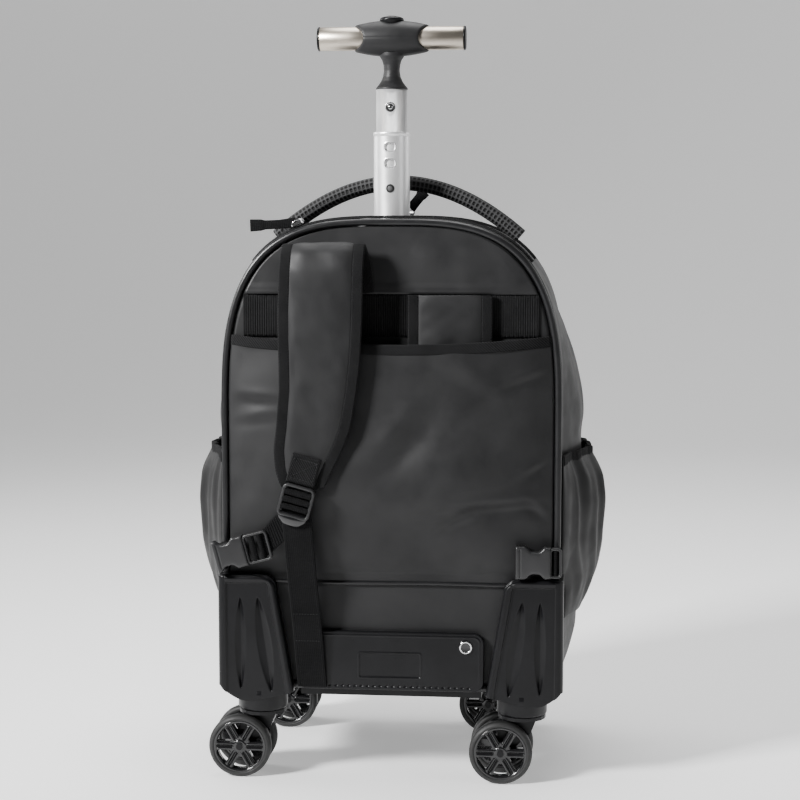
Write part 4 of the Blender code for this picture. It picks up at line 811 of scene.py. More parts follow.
straps = {
    "span": 71 * mm, "binding": 9.5 * mm, "thick": 7.5 * mm, "bindingThick": 4.2 * mm, "leftX": -54.5 * mm,
    "rightX": 51 * mm, "standOff": 27 * mm, "foldTop": 459 * mm, "drop": 205 * mm, "rightEnd": 252 * mm,
    "adjuster": 0.88 * 27 * mm + 7.5 * mm / 2 + gap, "padEdge": 1.5 * mm, "tapeRound": 1.4 * mm,
}
# The hanging strap by share of its drop: stand-off by share, and its left and right edge by the span
strapRows = np.array((
    (.200, .23, -.40, .59), (.100, .23, -.43, .56), (.035, .34, -.46, .52), (0, .62, -.48, .50), (.035, .88, -.49, .50),
    (.100, 1, -.50, .49), (.290, 1, -.52, .48), (.480, 1, -.51, .45), (.590, .97, -.51, .41), (.740, .93, -.55, .34),
    (.840, .88, -.59, .23), (.920, .88, -.57, .11), (1, .88, -.49, .01)))


# A point of the hanging strap: z, stand-off and both edges against the run along it, eased, and lift laid off
# square to it by the slope of (z, stand-off) over a small step of the run
def hangingPoint(across, share, lift, step=0.004):
    z, stand = straps["foldTop"] - strapRows[:, 0] * straps["drop"], strapRows[:, 1] * straps["standOff"]
    run = runAlong(together(z, stand))
    table = together(run / run[-1], z, stand, strapRows[:, 2], strapRows[:, 3])
    share = np.asarray(share, float)
    z, stand, left, right = easedRows(share, table, 0.045)
    after, before = (easedRows(clamp(share + way), table, 0.045) for way in (step, -step))
    fall, away = after[0] - before[0], after[1] - before[1]
    size = np.hypot(fall, away)
    outY, outZ = fall / size, away / size
    x = straps["leftX"] + straps["span"] * (left + (across + 1) / 2 * (right - left))
    return together(x, yAt(-stand + outY * lift), z + outZ * lift)


# A point of the stowed strap, which lies straight down behind the sleeve
def stowedPoint(across, share, lift):
    top = bag["yokeEdge"] - 2 * gap
    z = top + (straps["rightEnd"] - top) * share
    x = straps["rightX"] + across * straps["span"] / 2
    return together(x, yAt(-0.23 * straps["standOff"] - lift), z)


padLook = {"rows": 150, "columns": 34, "slack": 0.6 * mm, "length": 250 * mm, "width": 30 * mm}


# A padded strap's pad: lift by 1 - |u|^5 from its edge, with soft creases
def makePad(side, point, widthAt, length, seed):
    look, edge = padLook, straps["padEdge"]
    share = columnOf(0, 1 - straps["binding"] / length, look["rows"])
    u = rowOf(-1, 1, look["columns"])
    reach = 1 - 2 * (straps["binding"] - 1.0 * mm) / widthAt(share)
    crown = edge + (straps["thick"] / 2 - edge) * (1 - np.abs(u) ** 5)
    calm = clamp((1 - np.abs(u)) / 0.2) * clamp((1 - share) / 0.1)
    across, down = u * look["width"], share * look["length"]
    waves = ripples(across, down, 0.06, seed) * 0.6 + ripples(across, down, 0.025, seed + 1) * 0.2
    front = point(u * reach, share, crown + calm * look["slack"] * waves)
    run = together(u * straps["span"] / 2, share * length)
    pad = closedSheet("strap_pad_" + side, front, point(u * reach, share, -crown), uv=run, material=cloth,
                      replaces=("shoulder_strap_" + side,))


tapeLook = {"down": 240, "across": 60, "end": 0.985, "ease": 13, "least": 0.15 * mm}


# The tape round a strap's edge: down one side, across the end and up the other, eased at its corners
def makeStrapTape(side, point, widthAt, length):
    look = tapeLook
    trim = look["ease"] // 2
    down = np.linspace(0, look["end"], look["down"])
    inset = straps["binding"] / widthAt(down)
    low = 1 - straps["binding"] / 2 / length
    acrossEnd = np.linspace(-1, 1, look["across"]) * (1 - inset[-1] * 1.1)
    across = np.concatenate([-1 + inset, acrossEnd, (1 - inset)[::-1]])
    downSide = np.minimum(down, low)
    shares = np.concatenate([downSide, np.full(look["across"], low), downSide[::-1]])
    kernel = np.hanning(look["ease"])[1:-1] / np.hanning(look["ease"]).sum()
    across[trim:-trim], shares[trim:-trim] = (np.convolve(v, kernel, "same")[trim:-trim] for v in (across, shares))
    path = point(across, shares, 0)
    normal = unit(point(across, shares, mm) - path)
    keep = np.concatenate([[True], np.linalg.norm(np.diff(path, axis=0), axis=-1) > look["least"]])
    profile = roundedRectangle(straps["bindingThick"], straps["binding"], straps["tapeRound"], 4)
    sweep("strap_tape_" + side, path[keep], profile, normal[keep], material=bindingTwill,
          replaces=("strap_binding_" + side,))


def hangingWidth(share):
    return straps["span"] * np.interp(share, np.linspace(0, 1, 13), strapRows[:, 3] - strapRows[:, 2])


def stowedWidth(share):
    return straps["span"] + 0 * share


strapMakers = (
    ("left", hangingPoint, hangingWidth, 272 * mm, 41),
    ("right", stowedPoint, stowedWidth, bag["yokeEdge"] - straps["rightEnd"], 43),
)
for side, point, widthAt, length, seed in strapMakers:
    makePad(side, point, widthAt, length, seed)
    makeStrapTape(side, point, widthAt, length)


# Local (right, up, out) points of a flat fitting, set on the straps side at a place, a stand-off and a turn
def onFront(points, x, stand, z, turn):
    c, s = math.cos(turn), math.sin(turn)
    right, up, out = (points[..., k] for k in range(3))
    return together(x + right * c - up * s, yAt(-stand) - out, z + right * s + up * c)


# Stitches as small spindles of 4 sides, laid from start to end points and bowed out: how far along, how thick and
# how far out each ring of points is
stitchRings = np.array(((0, 0.15, -0.4), (0.12, 0.8, 0.5), (0.5, 1.0, 1.0), (0.88, 0.8, 0.5), (1.0, 0.15, -0.4)))
stitchRadius = 0.28 * mm


def stitchRow(name, starts, ends, out):
    share, thick, bow = stitchRings.T * np.array([[1], [stitchRadius], [stitchRadius]])
    out = np.broadcast_to(np.asarray(out, float), starts.shape)
    side = unit(np.cross(ends - starts, out))
    line = starts[:, None] + share[None, :, None] * (ends - starts)[:, None] + bow[None, :, None] * out[:, None]
    t = ringOf(5)[None, None, :, None]
    ring = np.cos(t) * side[:, None, None] + np.sin(t) * out[:, None, None]
    points = line[:, :, None] + ring * thick[:, None, None]
    first = np.arange(len(starts))[:, None, None] * 25
    fan = np.array([(0, 2, 1), (0, 3, 2), (0, 4, 3), (20, 21, 22), (20, 22, 23), (20, 23, 24)])
    return makePiece(name, points, (gridFaces(5, 5, False, True) + first).reshape(-1, 4), (fan + first).reshape(-1, 3),
                     uv=points.reshape(-1, 3)[:, [0, 2]], material=seamThread, weld=True)


# A line of stitches along a path; 0.7 of each pitch shows
def stitchLine(name, path, out, pitch):
    count = max(int(runAlong(path)[-1] / pitch), 1)
    fine = resample(path, count * 10 + 1)
    stitchRow(name, fine[:-1:10], fine[7::10][:count], out)


tabLook = {"size": 25 * mm, "thick": 2 * mm, "x": -70 * mm, "z": 271 * mm, "turn": math.radians(-15),
           "fold": 0.9 * mm, "lowFold": 0.5 * mm, "boxDent": 0.35 * mm, "crossDent": 0.25 * mm, "pitch": 2.4 * mm}


# The stitched tab: a flat tape folded over at its top, with a box and a cross of thread
def makeTab():
    look = tabLook
    half = look["size"] / 2
    u, v = rowOf(-1, 1, 50), columnOf(-1, 1, 50)
    edge = clamp(1 - np.abs(u) ** 14) ** 0.5 * clamp(1 - np.abs(v) ** 18) ** 0.5
    fold = look["fold"] * hump(v, 0.90, 0.07) + look["lowFold"] * hump(v, -0.80, 0.10)
    dent = -look["boxDent"] * hump(np.abs(u), 0.80, 0.05) * (np.abs(v) < 0.8)
    dent = dent - look["crossDent"] * (hump(u, v, 0.07) + hump(u, -v, 0.07)) * (np.abs(v) < 0.75)
    top = edge * (look["thick"] + fold + dent) - 0.2 * mm
    place = (look["x"], straps["adjuster"], look["z"], look["turn"])
    front = onFront(together(u * half, v * half, top), *place)
    back = onFront(together(u * half * 0.99, v * half * 0.99, -0.2 * mm), *place)
    closedSheet("strap_tab_tape", front, back, material=bindingTwill, replaces=("strap_tab",))
    corners = 0.8 * half * np.array([(-1, 0.86), (1, 0.86), (1, -0.8), (-1, -0.8), (-1, 0.86)])
    for k, line in enumerate((corners, corners[[0, 2]], corners[[1, 3]])):
        local = np.concatenate([line, np.full((len(line), 1), look["thick"])], -1)
        stitchLine(f"tab_stitches_{k}", onFront(local, *place), (0, -1, 0), look["pitch"])


# webbing has each bar's place up, its height and the bars' thickness; tongue its half width, its narrowing,
# its length, how far its end is rounded and its thickness
lockLook = {"size": 28 * mm, "rim": 2.6 * mm, "thick": 5 * mm, "x": -76.2 * mm, "z": 244.6 * mm, "round": 3.2 * mm,
            "bars": ((6.9 * mm, 5.0 * mm), (0.6 * mm, 5.2 * mm), (-5.6 * mm, 4.6 * mm)), "barThick": 4.4 * mm,
            "tongue": (12.6 * mm, 2.4 * mm, 10.5 * mm, 3.2 * mm, 1.6 * mm)}


# The ladder lock: a frame along a round-cornered square, bars wrapped in webbing and a rounded tongue
def makeLadderLock():
    look = lockLook
    place = (look["x"], straps["adjuster"] + look["thick"] / 2, look["z"], tabLook["turn"])
    ring = roundedRectangle(look["size"] - look["rim"], look["size"] - look["rim"], look["round"], 6)
    path = onFront(np.concatenate([resample(ring, 90, True), np.zeros((90, 1))], -1), *place)
    profile = roundedRectangle(look["thick"], look["rim"], 1.2 * mm, 4)
    sweep("ladder_lock_frame", path, profile, (0, -1, 0), True, material=bucklePlastic,
          replaces=("ladder_lock",))
    reach = look["size"] / 2 - look["rim"] * 0.9
    line = np.linspace(-reach, reach, 24)
    for k, (up, high) in enumerate(look["bars"]):
        local = together(line, up, 0.5 * mm + 0.2 * mm * np.sin(line * 600))
        sweep(f"lock_webbing_{k}", onFront(local, *place), ovalOf(look["barThick"], high, 20), (0, -1, 0),
              material=crossWebbing)
    u, v = rowOf(-1, 1, 48), columnOf(0, 1, 24)
    half, narrowing, length, rounded, thick = look["tongue"]
    drop = look["size"] / 2 - 3.5 * mm + length * v - rounded * v * np.abs(u) ** 3
    bulge = (3.6 * np.sin(np.pi * clamp(0.15 + 0.8 * v)) * (1 - 0.45 * u ** 2) - 0.8) * mm
    local = together(u * (half - narrowing * v ** 2.2), -drop, bulge)
    behind = local - [0, 0, thick]
    closedSheet("lock_tongue", onFront(local, *place), onFront(behind, *place), material=glossPlastic)


# Webbing through (x, stand-off, z) rows: ribs across it and a slightly thicker woven edge; turnedBy is the
# direction of its width in degrees from X towards Z, at even steps along it
def makeWebbing(name, rows, width, turnedBy, replaced, ribPitch, ribDepth, count, ease):
    rows = np.array(rows) * mm
    path = resample(together(rows[:, 0], yAt(-rows[:, 1]), rows[:, 2]), count)
    kernel = np.hanning(2 * ease + 1) / np.hanning(2 * ease + 1).sum()
    inner = np.stack([np.convolve(path[:, k], kernel, "same") for k in range(3)], -1)
    path[ease:-ease] = inner[ease:-ease]
    turns = np.interp(np.linspace(0, 1, count), np.linspace(0, 1, len(turnedBy)), np.radians(turnedBy))
    side = together(np.cos(turns), 0, np.sin(turns))
    tangent = unit(np.gradient(path, axis=0))
    out = np.cross(side, tangent)
    out = unit(out * np.where(out[:, 1:2] > 0, -1, 1))
    u = rowOf(-1, 1, 30)
    run = runAlong(path)[:, None]
    rib = ribDepth * np.abs(np.sin(np.pi * run / ribPitch))
    lift = 0.7 * mm + rib * (1 - u ** 8) + 0.25 * mm * np.exp(-((np.abs(u) - 0.88) / 0.07) ** 2)
    middle = path[:, None] + (u * width / 2)[..., None] * side[:, None]
    front = middle + lift[..., None] * out[:, None]
    back = middle - 0.7 * mm * out[:, None]
    uv = together(run, u * width / 2)
    closedSheet(name, front, back, uv=uv, material=crossWebbing, replaces=(replaced,))
    return front, out


lockStand = (straps["adjuster"] - gap) / mm - 0.8
buckleWebbing = ((-80, 19.5, 232), (-87, 18.5, 225), (-95, 17, 217), (-102, 15.5, 210), (-108, 15, 204.5))
tailWebbing = ((-77, lockStand, 251), (-76, lockStand, 226), (-73, 20.5, 180), (-70, 13.5, 138), (-66.3, 8, 81.5))


# The tab, the lock, the webbing down to the buckle and the tail with its two rows of stitches
def makeAdjuster():
    makeTab()
    makeLadderLock()
    makeWebbing("buckle_webbing", buckleWebbing, 22 * mm, (126, 120, 113, 108, 105), "strap_webbing", 2.5 * mm,
                0.9 * mm, 90, 5)
    front, out = makeWebbing("webbing_tail_tape", tailWebbing, 25 * mm, (0, 0), "webbing_tail", 2.8 * mm,
                             0.22 * mm, 300, 9)
    for k, share in enumerate((0.62, 0.76)):
        row = int(share * (len(front) - 1))
        stitchLine(f"tail_stitches_{k}", front[row, 2:-2] + out[row] * 0.25 * mm, out[row], 2.2 * mm)


makeAdjuster()
print("straps made")

buckles = {
    "length": 38 * mm, "height": 28 * mm, "thick": 9 * mm, "dip": 4.6 * mm, "dipWidth": 6.5 * mm,
    "left": (-129.5 * mm, 17 * mm, 198.5 * mm, math.radians(15)), "right": (126 * mm, 14 * mm, 193.5 * mm, 0.0),
    "leftSplit": 8 * mm, "ladder": 20 * mm, "groove": 0.7 * mm, "narrowing": 0.8 * mm, "frame": (6 * mm, 2.3 * mm),
    "barThick": 4.8 * mm,
}


# A buckle's body from low to high along itself: its half height dips in two scallops, its face is 1 - |v|^12
# round at the edges, and a groove crosses it near one end
def makeBuckleBody(name, place, low, high, dipAt, replaced):
    look = buckles
    a = rowOf(low, high, 90)
    v = columnOf(-1, 1, 60)
    half = look["height"] / 2 - look["dip"] * np.exp(-((a - dipAt) / look["dipWidth"]) ** 4)
    half = half - look["narrowing"] * clamp((a - dipAt - 8 * mm) / (3 * mm))
    ends = clamp(1 - np.abs((a - (low + high) / 2) / ((high - low) / 2)) ** 22) ** 0.5
    face = clamp(1 - np.abs(v) ** 12) ** 0.5
    out = look["thick"] / 2 * (0.55 + 0.45 * ends * face) + 0.3 * mm * (1 - v ** 2)
    out = out - look["groove"] * hump(a, low + 4 * mm, 0.7 * mm) * (np.abs(v) < 0.86)
    front = onFront(together(a, v * half, out), *place)
    back = onFront(together(a, v * half, -look["thick"] / 2), *place)
    closedSheet(name, front, back, material=bucklePlastic, replaces=(replaced,))


# The ladder end: a frame along a round-cornered rectangle, and bars wrapped in webbing by place and width
def makeBuckleLadder(name, place, middle, width, bars, replaced):
    look = buckles
    ring = resample(roundedRectangle(width, look["height"] - 4.4 * mm, 2.6 * mm, 5), 80, True)
    local = together(ring[:, 0] + middle, ring[:, 1], 0)
    sweep(name, onFront(local, *place), roundedRectangle(*look["frame"], 1.0 * mm, 4), (0, -1, 0), True,
          material=bucklePlastic, replaces=replaced)
    up = np.linspace(-1, 1, 24) * (look["height"] / 2 - 3.2 * mm)
    for k, (at, wide) in enumerate(bars):
        local = together(middle + at, up, 0.3 * mm)
        sweep(f"{name}_webbing_{k}", onFront(local, *place), ovalOf(look["barThick"], wide, 18), (0, -1, 0),
              material=crossWebbing)


# The left buckle is fastened, with both halves; the right one is the empty half alone
def makeBuckles():
    left, right = buckles["left"], buckles["right"]
    half = buckles["length"] / 2
    makeBuckleBody("buckle_left_body", left, -half, buckles["leftSplit"], -8.5 * mm, "buckle_left_female")
    middle = buckles["leftSplit"] + buckles["ladder"] / 2 + 0.6 * mm
    makeBuckleLadder("buckle_left_ladder", left, middle, buckles["ladder"],
                     ((-3.6 * mm, 5.4 * mm), (3.4 * mm, 4.6 * mm)), ("buckle_left_male",))
    makeBuckleBody("buckle_right_body", right, -half, half - 8.4 * mm, -2.5 * mm, "buckle_right_female")
    makeBuckleLadder("buckle_right_ladder", right, half - 4.6 * mm, 8.6 * mm, ((0.4 * mm, 3.6 * mm),), ())


makeBuckles()

pockets = {"base": 136 * mm, "top": 280 * mm, "swell": 18.5 * mm, "front": 8 * mm, "lowFront": 36 * mm,
           "widensFrom": 158 * mm, "widens": 48 * mm, "folds": 2.1 * mm, "hem": 9 * mm, "hemThick": 2.8 * mm,
           "half": 0.6 * mm}
swellRows = ((0, .04), (.07, .32), (.22, .72), (.40, .95), (.68, 1.04), (.84, .84), (1, .12))


# A pocket point: the gusset's side plus a swell by height times sin(pi * along)^0.7, gathered into upright folds
def pocketGrid(sign, along, share):
    z = pockets["base"] + share * (pockets["top"] - pockets["base"])
    widened = easeStep((z - pockets["widensFrom"]) / pockets["widens"])
    front = pockets["lowFront"] - (pockets["lowFront"] - pockets["front"]) * widened
    distance = front + along * (bag["depth"] - pockets["front"] - front)
    start = bag["piping"] + gap
    depthShare = (distance - start) / (bag["depth"] - 2 * start)
    arch = np.sin(np.pi * along)
    swell = pockets["swell"] * easedRows(share, swellRows, 0.16) * arch ** 0.7
    x = bag["half"] + gussetPush(z, depthShare) + 1.0 * mm + 0.8 * mm * arch + swell
    phase = along * 2 * np.pi
    folds = 0.55 * np.sin(phase * 6.5 + 3 * share + sign) + 0.35 * np.sin(phase * 11 - 2.2 * share)
    folds = (folds + 0.25 * np.sin(phase * 3.2)) * (0.55 + 0.6 * share)
    x = x + pockets["folds"] * folds * clamp(arch * 2.5) * clamp(share / 0.15)
    return together(sign * x, yAt(distance), z)


def makePockets():
    for side, sign in sides:
        grid = pocketGrid(sign, rowOf(0, 1, 150), columnOf(0, 1, 90))
        thick = np.array([sign * pockets["half"], 0, 0])
        # The pockets take the darkened cloth, painted shade
        pocket = closedSheet("side_pocket_cloth_" + side, grid + thick, grid - thick, material=shadedPocketCloth,
                             replaces=("side_pocket_" + side,))
        path = resample(pocketGrid(sign, np.linspace(0.004, 0.996, 400), np.full(400, 0.975)), 260)
        gathers = 1 + 0.10 * np.sin(np.arange(260) * 0.9) + 0.05 * np.sin(np.arange(260) * 2.3)
        sweep("pocket_hem_" + side, path, roundedRectangle(pockets["hem"], pockets["hemThick"], 1.2 * mm, 4), (0, 0, 1),
              scale=together(1, gathers), material=bindingTwill)


makePockets()
print("buckles and pockets made")

kick = {
    "half": 80.5 * mm, "base": 79 * mm, "height": 51 * mm, "thick": 3 * mm, "corner": 9 * mm, "line": 3.6 * mm,
    "label": (52 * mm, 20.5 * mm, 100.7 * mm), "rivetX": 65 * mm, "rivetZ": 118 * mm, "stitchZ": 82.6 * mm,
    "stitchPitch": 5.4 * mm, "stitchInset": 12 * mm, "holeDepth": 0.8 * mm, "edgeRound": 1.2 * mm,
    "lineHeight": 0.55 * mm, "sunk": 0.7 * mm,
    "washer": ((0, 0), (6.2, 0), (6.2, -0.5), (5.6, -1.0), (4.6, -0.8), (0, -0.7)),
}


# Signed distance inside a round-cornered rectangle, positive inwards
def insideRectangle(x, z, halfX, halfZ, radius):
    dx, dz = np.abs(x) - (halfX - radius), np.abs(z) - (halfZ - radius)
    outside = np.hypot(np.maximum(dx, 0), np.maximum(dz, 0))
    return radius - outside - np.minimum(np.maximum(dx, dz), 0)


# What a rounded edge takes off, at a distance d in from the edge: r * (1 - sqrt(1 - (1 - d/r)^2))
def roundLoss(d, radius):
    return radius * (1 - np.sqrt(1 - (1 - clamp(d / radius)) ** 2))


# The kick plate: a plate with round corners, a raised line inside its edge, a sunk label place and stitch holes
def makeKickPlate():
    look = kick
    middle, halfZ = look["base"] + look["height"] / 2, look["height"] / 2
    bend = np.linspace(0, np.pi / 2, 14)
    edge = look["half"] - look["corner"] * (1 - np.sin(bend))
    x = np.concatenate([-edge[::-1], np.linspace(-edge[0], edge[0], 330)[1:-1], edge])[None, :]
    over = clamp((np.abs(x) - (look["half"] - look["corner"])) / look["corner"])
    tall = halfZ - look["corner"] * (1 - np.sqrt(np.maximum(1 - over ** 2, 0)))
    v = columnOf(-1, 1, 120)
    z = v * tall
    d = insideRectangle(x, z, look["half"], halfZ, look["corner"])
    lift = look["thick"] - roundLoss(d, look["edgeRound"])
    lift = lift + look["lineHeight"] * hump(d, look["line"], look["lineHeight"]) * (z > -halfZ + look["corner"])
    wide, high, at = look["label"]
    label = insideRectangle(x, z - (at - middle), wide / 2, high / 2, 1.2 * mm)
    lift = lift - look["sunk"] * (easeStep(label / look["sunk"] + 0.3) - 0.5 * hump(label, -look["sunk"], 0.5 * mm))
    row = np.abs(np.mod(x / look["stitchPitch"], 1) - 0.5) * look["stitchPitch"]
    plain = np.abs(x) >= look["half"] - look["stitchInset"]
    hole = np.hypot(row / 1.9, z + middle - look["stitchZ"]) * ~plain + plain
    lift = lift - look["holeDepth"] * np.exp(-(hole / (0.75 * mm)) ** 4) + ripples(x, z, 0.06, 51) * 0.06 * mm
    base = -bag["piping"] - gap
    front = together(x, yAt(base - lift), z + middle)
    back = together(x, yAt(base), z + middle)
    closedSheet("kick_plate_moulding", front, back, weld=True, material=satinPlastic,
                replaces=("kick_plate",))
    for side, sign in sides:
        centre = (sign * look["rivetX"], yAt(base - look["thick"]), look["rivetZ"])
        spun("rivet_washer_" + side, np.array(look["washer"]) * mm, centre, "Y", 48, material=glossPlastic)
        ring = ovalOf(1.5 * mm, 1.5 * mm, 14) + [4.7 * mm, -0.9 * mm]
        spun("rivet_ring_" + side, ring, centre, "Y", 48, material=brightSteel, replaces=("rivet_" + side,))


# stems are each caster's (x, depth) in millimetres; heights are from the middle of the wheel's width
wheel = {
    "radius": 27 * mm, "spacing": 16 * mm, "trail": 17.5 * mm, "spoke": 3.5 * mm, "hub": 5.4 * mm,
    "windowIn": 9.4 * mm, "windowOut": 20.2 * mm, "rim": 22.6 * mm, "spokes": 6, "steps": 32, "windowShare": 0.6,
    "face": 4.2 * mm, "hubFace": 5.5 * mm, "ribHeight": 0.9 * mm, "ribSide": 1.5 * mm, "rimStep": 1.1 * mm,
    "stems": {"front_left": (-112.5, 12), "front_right": (112.5, 12), "rear_left": (-94.4, 168),
              "rear_right": (94.4, 168)},
    "tyre": ((22.4, 4.4), (22.9, 5.3), (23.6, 5.6), (24.9, 5.4), (25.3, 5.0), (26.3, 4.3), (27, 3.0), (27, -3.0),
             (26.3, -4.3), (25.3, -5.0), (23.6, -5.4), (22.4, -4.6)),
}
# shares are of the run u over the face, the rounded corner and the side; flutes have a top, a low end and a width
housing = {
    "top": 178 * mm, "base": 68 * mm, "front": 12 * mm, "wrap": 22 * mm, "outer": 147.6 * mm, "back": 3.3 * mm,
    "sideBack": 145 * mm, "innerTop": 97 * mm, "innerBase": 82 * mm, "leanFrom": 76 * mm, "leanRun": 90 * mm,
    "round": 12 * mm, "bend": 5.5 * mm, "faceShare": 0.62, "bendShare": 0.10, "beadShare": 0.60, "edgeRound": 2.6 * mm,
    "bead": 6.4 * mm, "beadHeight": 1.7 * mm, "beadTop": 0.9 * mm, "beadMiddle": 3.3 * mm, "beadWidth": 2.0 * mm,
    "innerRise": (9 * mm, 0.42, 1.6), "outerRise": (13 * mm, 0.25, 1.8), "flute": 2.6 * mm, "mostInward": 2.2 * mm,
    "flutes": (((113, 158), (101.5, 77), 12.5), ((128, 158), (128, 79), 9.5)),
    "collar": ((0, 58), (19.6, 58), (20.9, 58.6), (21.5, 60), (21.5, 69), (22.4, 71), (22.4, 76.6), (0, 77)),
}


# A long lens between two (x, z) ends, in millimetres: 1 in its middle line, 0 at its edge
def lens(x, z, top, low, width):
    run = np.array(low) - np.array(top)
    length = np.hypot(*run)
    share = ((x - top[0]) * run[0] + (z - top[1]) * run[1]) / length ** 2
    off = np.abs((x - top[0]) * run[1] - (z - top[1]) * run[0]) / length
    half = width / 2 * np.maximum(np.sin(np.pi * clamp(share)), 0) ** 0.65 + 0.1
    return clamp(1 - off / half) * (share > 0) * (share < 1)


# A front corner guard: a face with a beaded rim and two flutes, rounded round the bag's corner and down its side.
# inward is what the bead, the rounded edge and the flutes take off square to the surface
def makeHousing(side, sign):
    look = housing
    u, v = rowOf(0, 1, 190), columnOf(0, 1, 170)
    onFace, bend, rounding = u < look["faceShare"], look["bend"], look["round"]
    (innerHigh, innerShare, innerPower), (outerHigh, outerShare, outerPower) = look["innerRise"], look["outerRise"]
    low = look["base"] + innerHigh * clamp((innerShare - u) / innerShare) ** innerPower
    low = low + outerHigh * clamp((u - innerShare) / outerShare) ** outerPower
    z = low + v * (look["top"] - low)
    lean = clamp((z - look["leanFrom"]) / look["leanRun"])
    over = clamp((z - look["top"] + rounding) / rounding)
    under = clamp((80 * mm - z) / (12 * mm))
    inner = look["innerBase"] + (look["innerTop"] - look["innerBase"]) * lean
    inner = inner + rounding * (1 - np.sqrt(1 - over ** 2)) + 4 * mm * under ** 2
    turned = clamp((u - look["faceShare"]) / look["bendShare"]) * np.pi / 2
    bendEnd = look["faceShare"] + look["bendShare"]
    sideRun = clamp((u - bendEnd) / (1 - bendEnd))
    corner = look["outer"] - bend
    x = np.where(onFace, inner + (corner - inner) * u / look["faceShare"], corner + bend * np.sin(turned))
    depth = np.where(onFace, 0, bend * (1 - np.cos(turned))) + sideRun * (look["front"] + look["wrap"] - bend)
    y = -look["front"] + depth
    dInner, dTop = (x - inner) * np.where(onFace, 1, 9), look["top"] - z
    dCorner = rounding - np.hypot(np.maximum(rounding - dInner, 0), np.maximum(rounding - dTop, 0))
    dRim = np.minimum(dInner, dTop)
    edge = np.minimum(dRim, np.where((dInner < rounding) & (dTop < rounding), dCorner, 9))
    edge = np.minimum(edge, z - low + 2.0 * mm)
    beaded = u < look["beadShare"]
    sunk = look["beadHeight"] * easeStep((dRim - look["bead"]) / (1.0 * mm)) * beaded
    sunk = sunk - look["beadTop"] * hump(dRim, look["beadMiddle"], look["beadWidth"]) * beaded
    flutes = sum(lens(x / mm, z / mm, *flute) for flute in look["flutes"])
    inward = sunk + roundLoss(edge, look["edgeRound"]) + look["flute"] * clamp(flutes) ** 0.75 * onFace
    nx, ny = np.where(onFace, 0, np.sin(turned)), -np.where(onFace, 1, np.cos(turned))
    front = together(sign * (x - nx * np.minimum(inward, look["mostInward"])), yAt(y - ny * inward), z)
    behind = u < 0.70
    backX = np.where(behind, np.minimum(x, look["sideBack"]), look["sideBack"])
    backY = np.where(behind, -look["back"], np.maximum(y, -look["back"]))
    back = together(sign * backX, yAt(backY), z)
    closedSheet("corner_guard_" + side, front, back, uv=together(x + y, z), weld=True, material=satinPlastic,
                replaces=("corner_housing_" + side,))
    stemX, stemY = wheel["stems"]["front_" + side]
    spun("front_collar_" + side, np.array(look["collar"]) * mm, (stemX * mm, yAt(stemY * mm), 0), "Z", 72,
         material=satinPlastic)


makeKickPlate()
for side, sign in sides:
    makeHousing(side, sign)
print("hard base made")

# A wheel's face by radius and by place p in its sector, -1 to 1: windows where |p| < 0.6, then a grooved spoke.
# Gives radius, angle and height of each point, and which cells are cut out as windows
def wheelParts():
    look = wheel
    hub, windowIn, windowOut, share = (look[k] for k in ("hub", "windowIn", "windowOut", "windowShare"))
    sector, steps = np.pi / look["spokes"], look["steps"]
    r = np.concatenate([np.linspace(0, hub, 7), np.linspace(hub + 0.3 * mm, windowIn, 5),
                        np.linspace(windowIn, windowOut, 14)[1:], np.linspace(windowOut, look["rim"], 6)[1:]])
    p = np.tile(np.linspace(-1, 1, steps, endpoint=False) + 1 / steps, look["spokes"])
    number = np.repeat(np.arange(look["spokes"]), steps)
    window = sector - np.arcsin(clamp(look["spoke"] / np.maximum(r, windowIn * 0.8)))[:, None]
    size = np.abs(p)[None, :]
    angle = np.where(size <= share, size / share * window,
                     window + (size - share) / (1 - share) * (sector - window))
    angle = angle * np.sign(p) + (number[None, :] + 0.5) * 2 * sector
    rr = r[:, None] + 0 * angle
    across = clamp((size - share) / (1 - share)) + 0 * rr
    span = (rr > hub + 0.5 * mm) & (rr < windowOut - 0.2 * mm)
    rib = look["ribHeight"] * hump(across, 0.42, 0.22) - look["ribSide"] * easeStep((across - 0.70) / 0.2)
    cap = look["hubFace"] - 0.9 * mm * (rr / hub) ** 4 - 0.6 * mm * hump(rr, 3.4 * mm, 0.5 * mm)
    height = np.where(rr <= hub, cap, look["face"] + np.where(span, rib, 0))
    height = height + look["rimStep"] * easeStep((rr - windowOut) / (1.0 * mm))
    cellR, cellSize = ((r[:-1] + r[1:]) / 2)[:, None], (size + np.roll(size, -1)) / 2
    cut = (cellR > windowIn) & (cellR < windowOut) & (cellSize < share) & (np.arange(len(p)) % steps != steps - 1)
    return rr, angle, height, cut


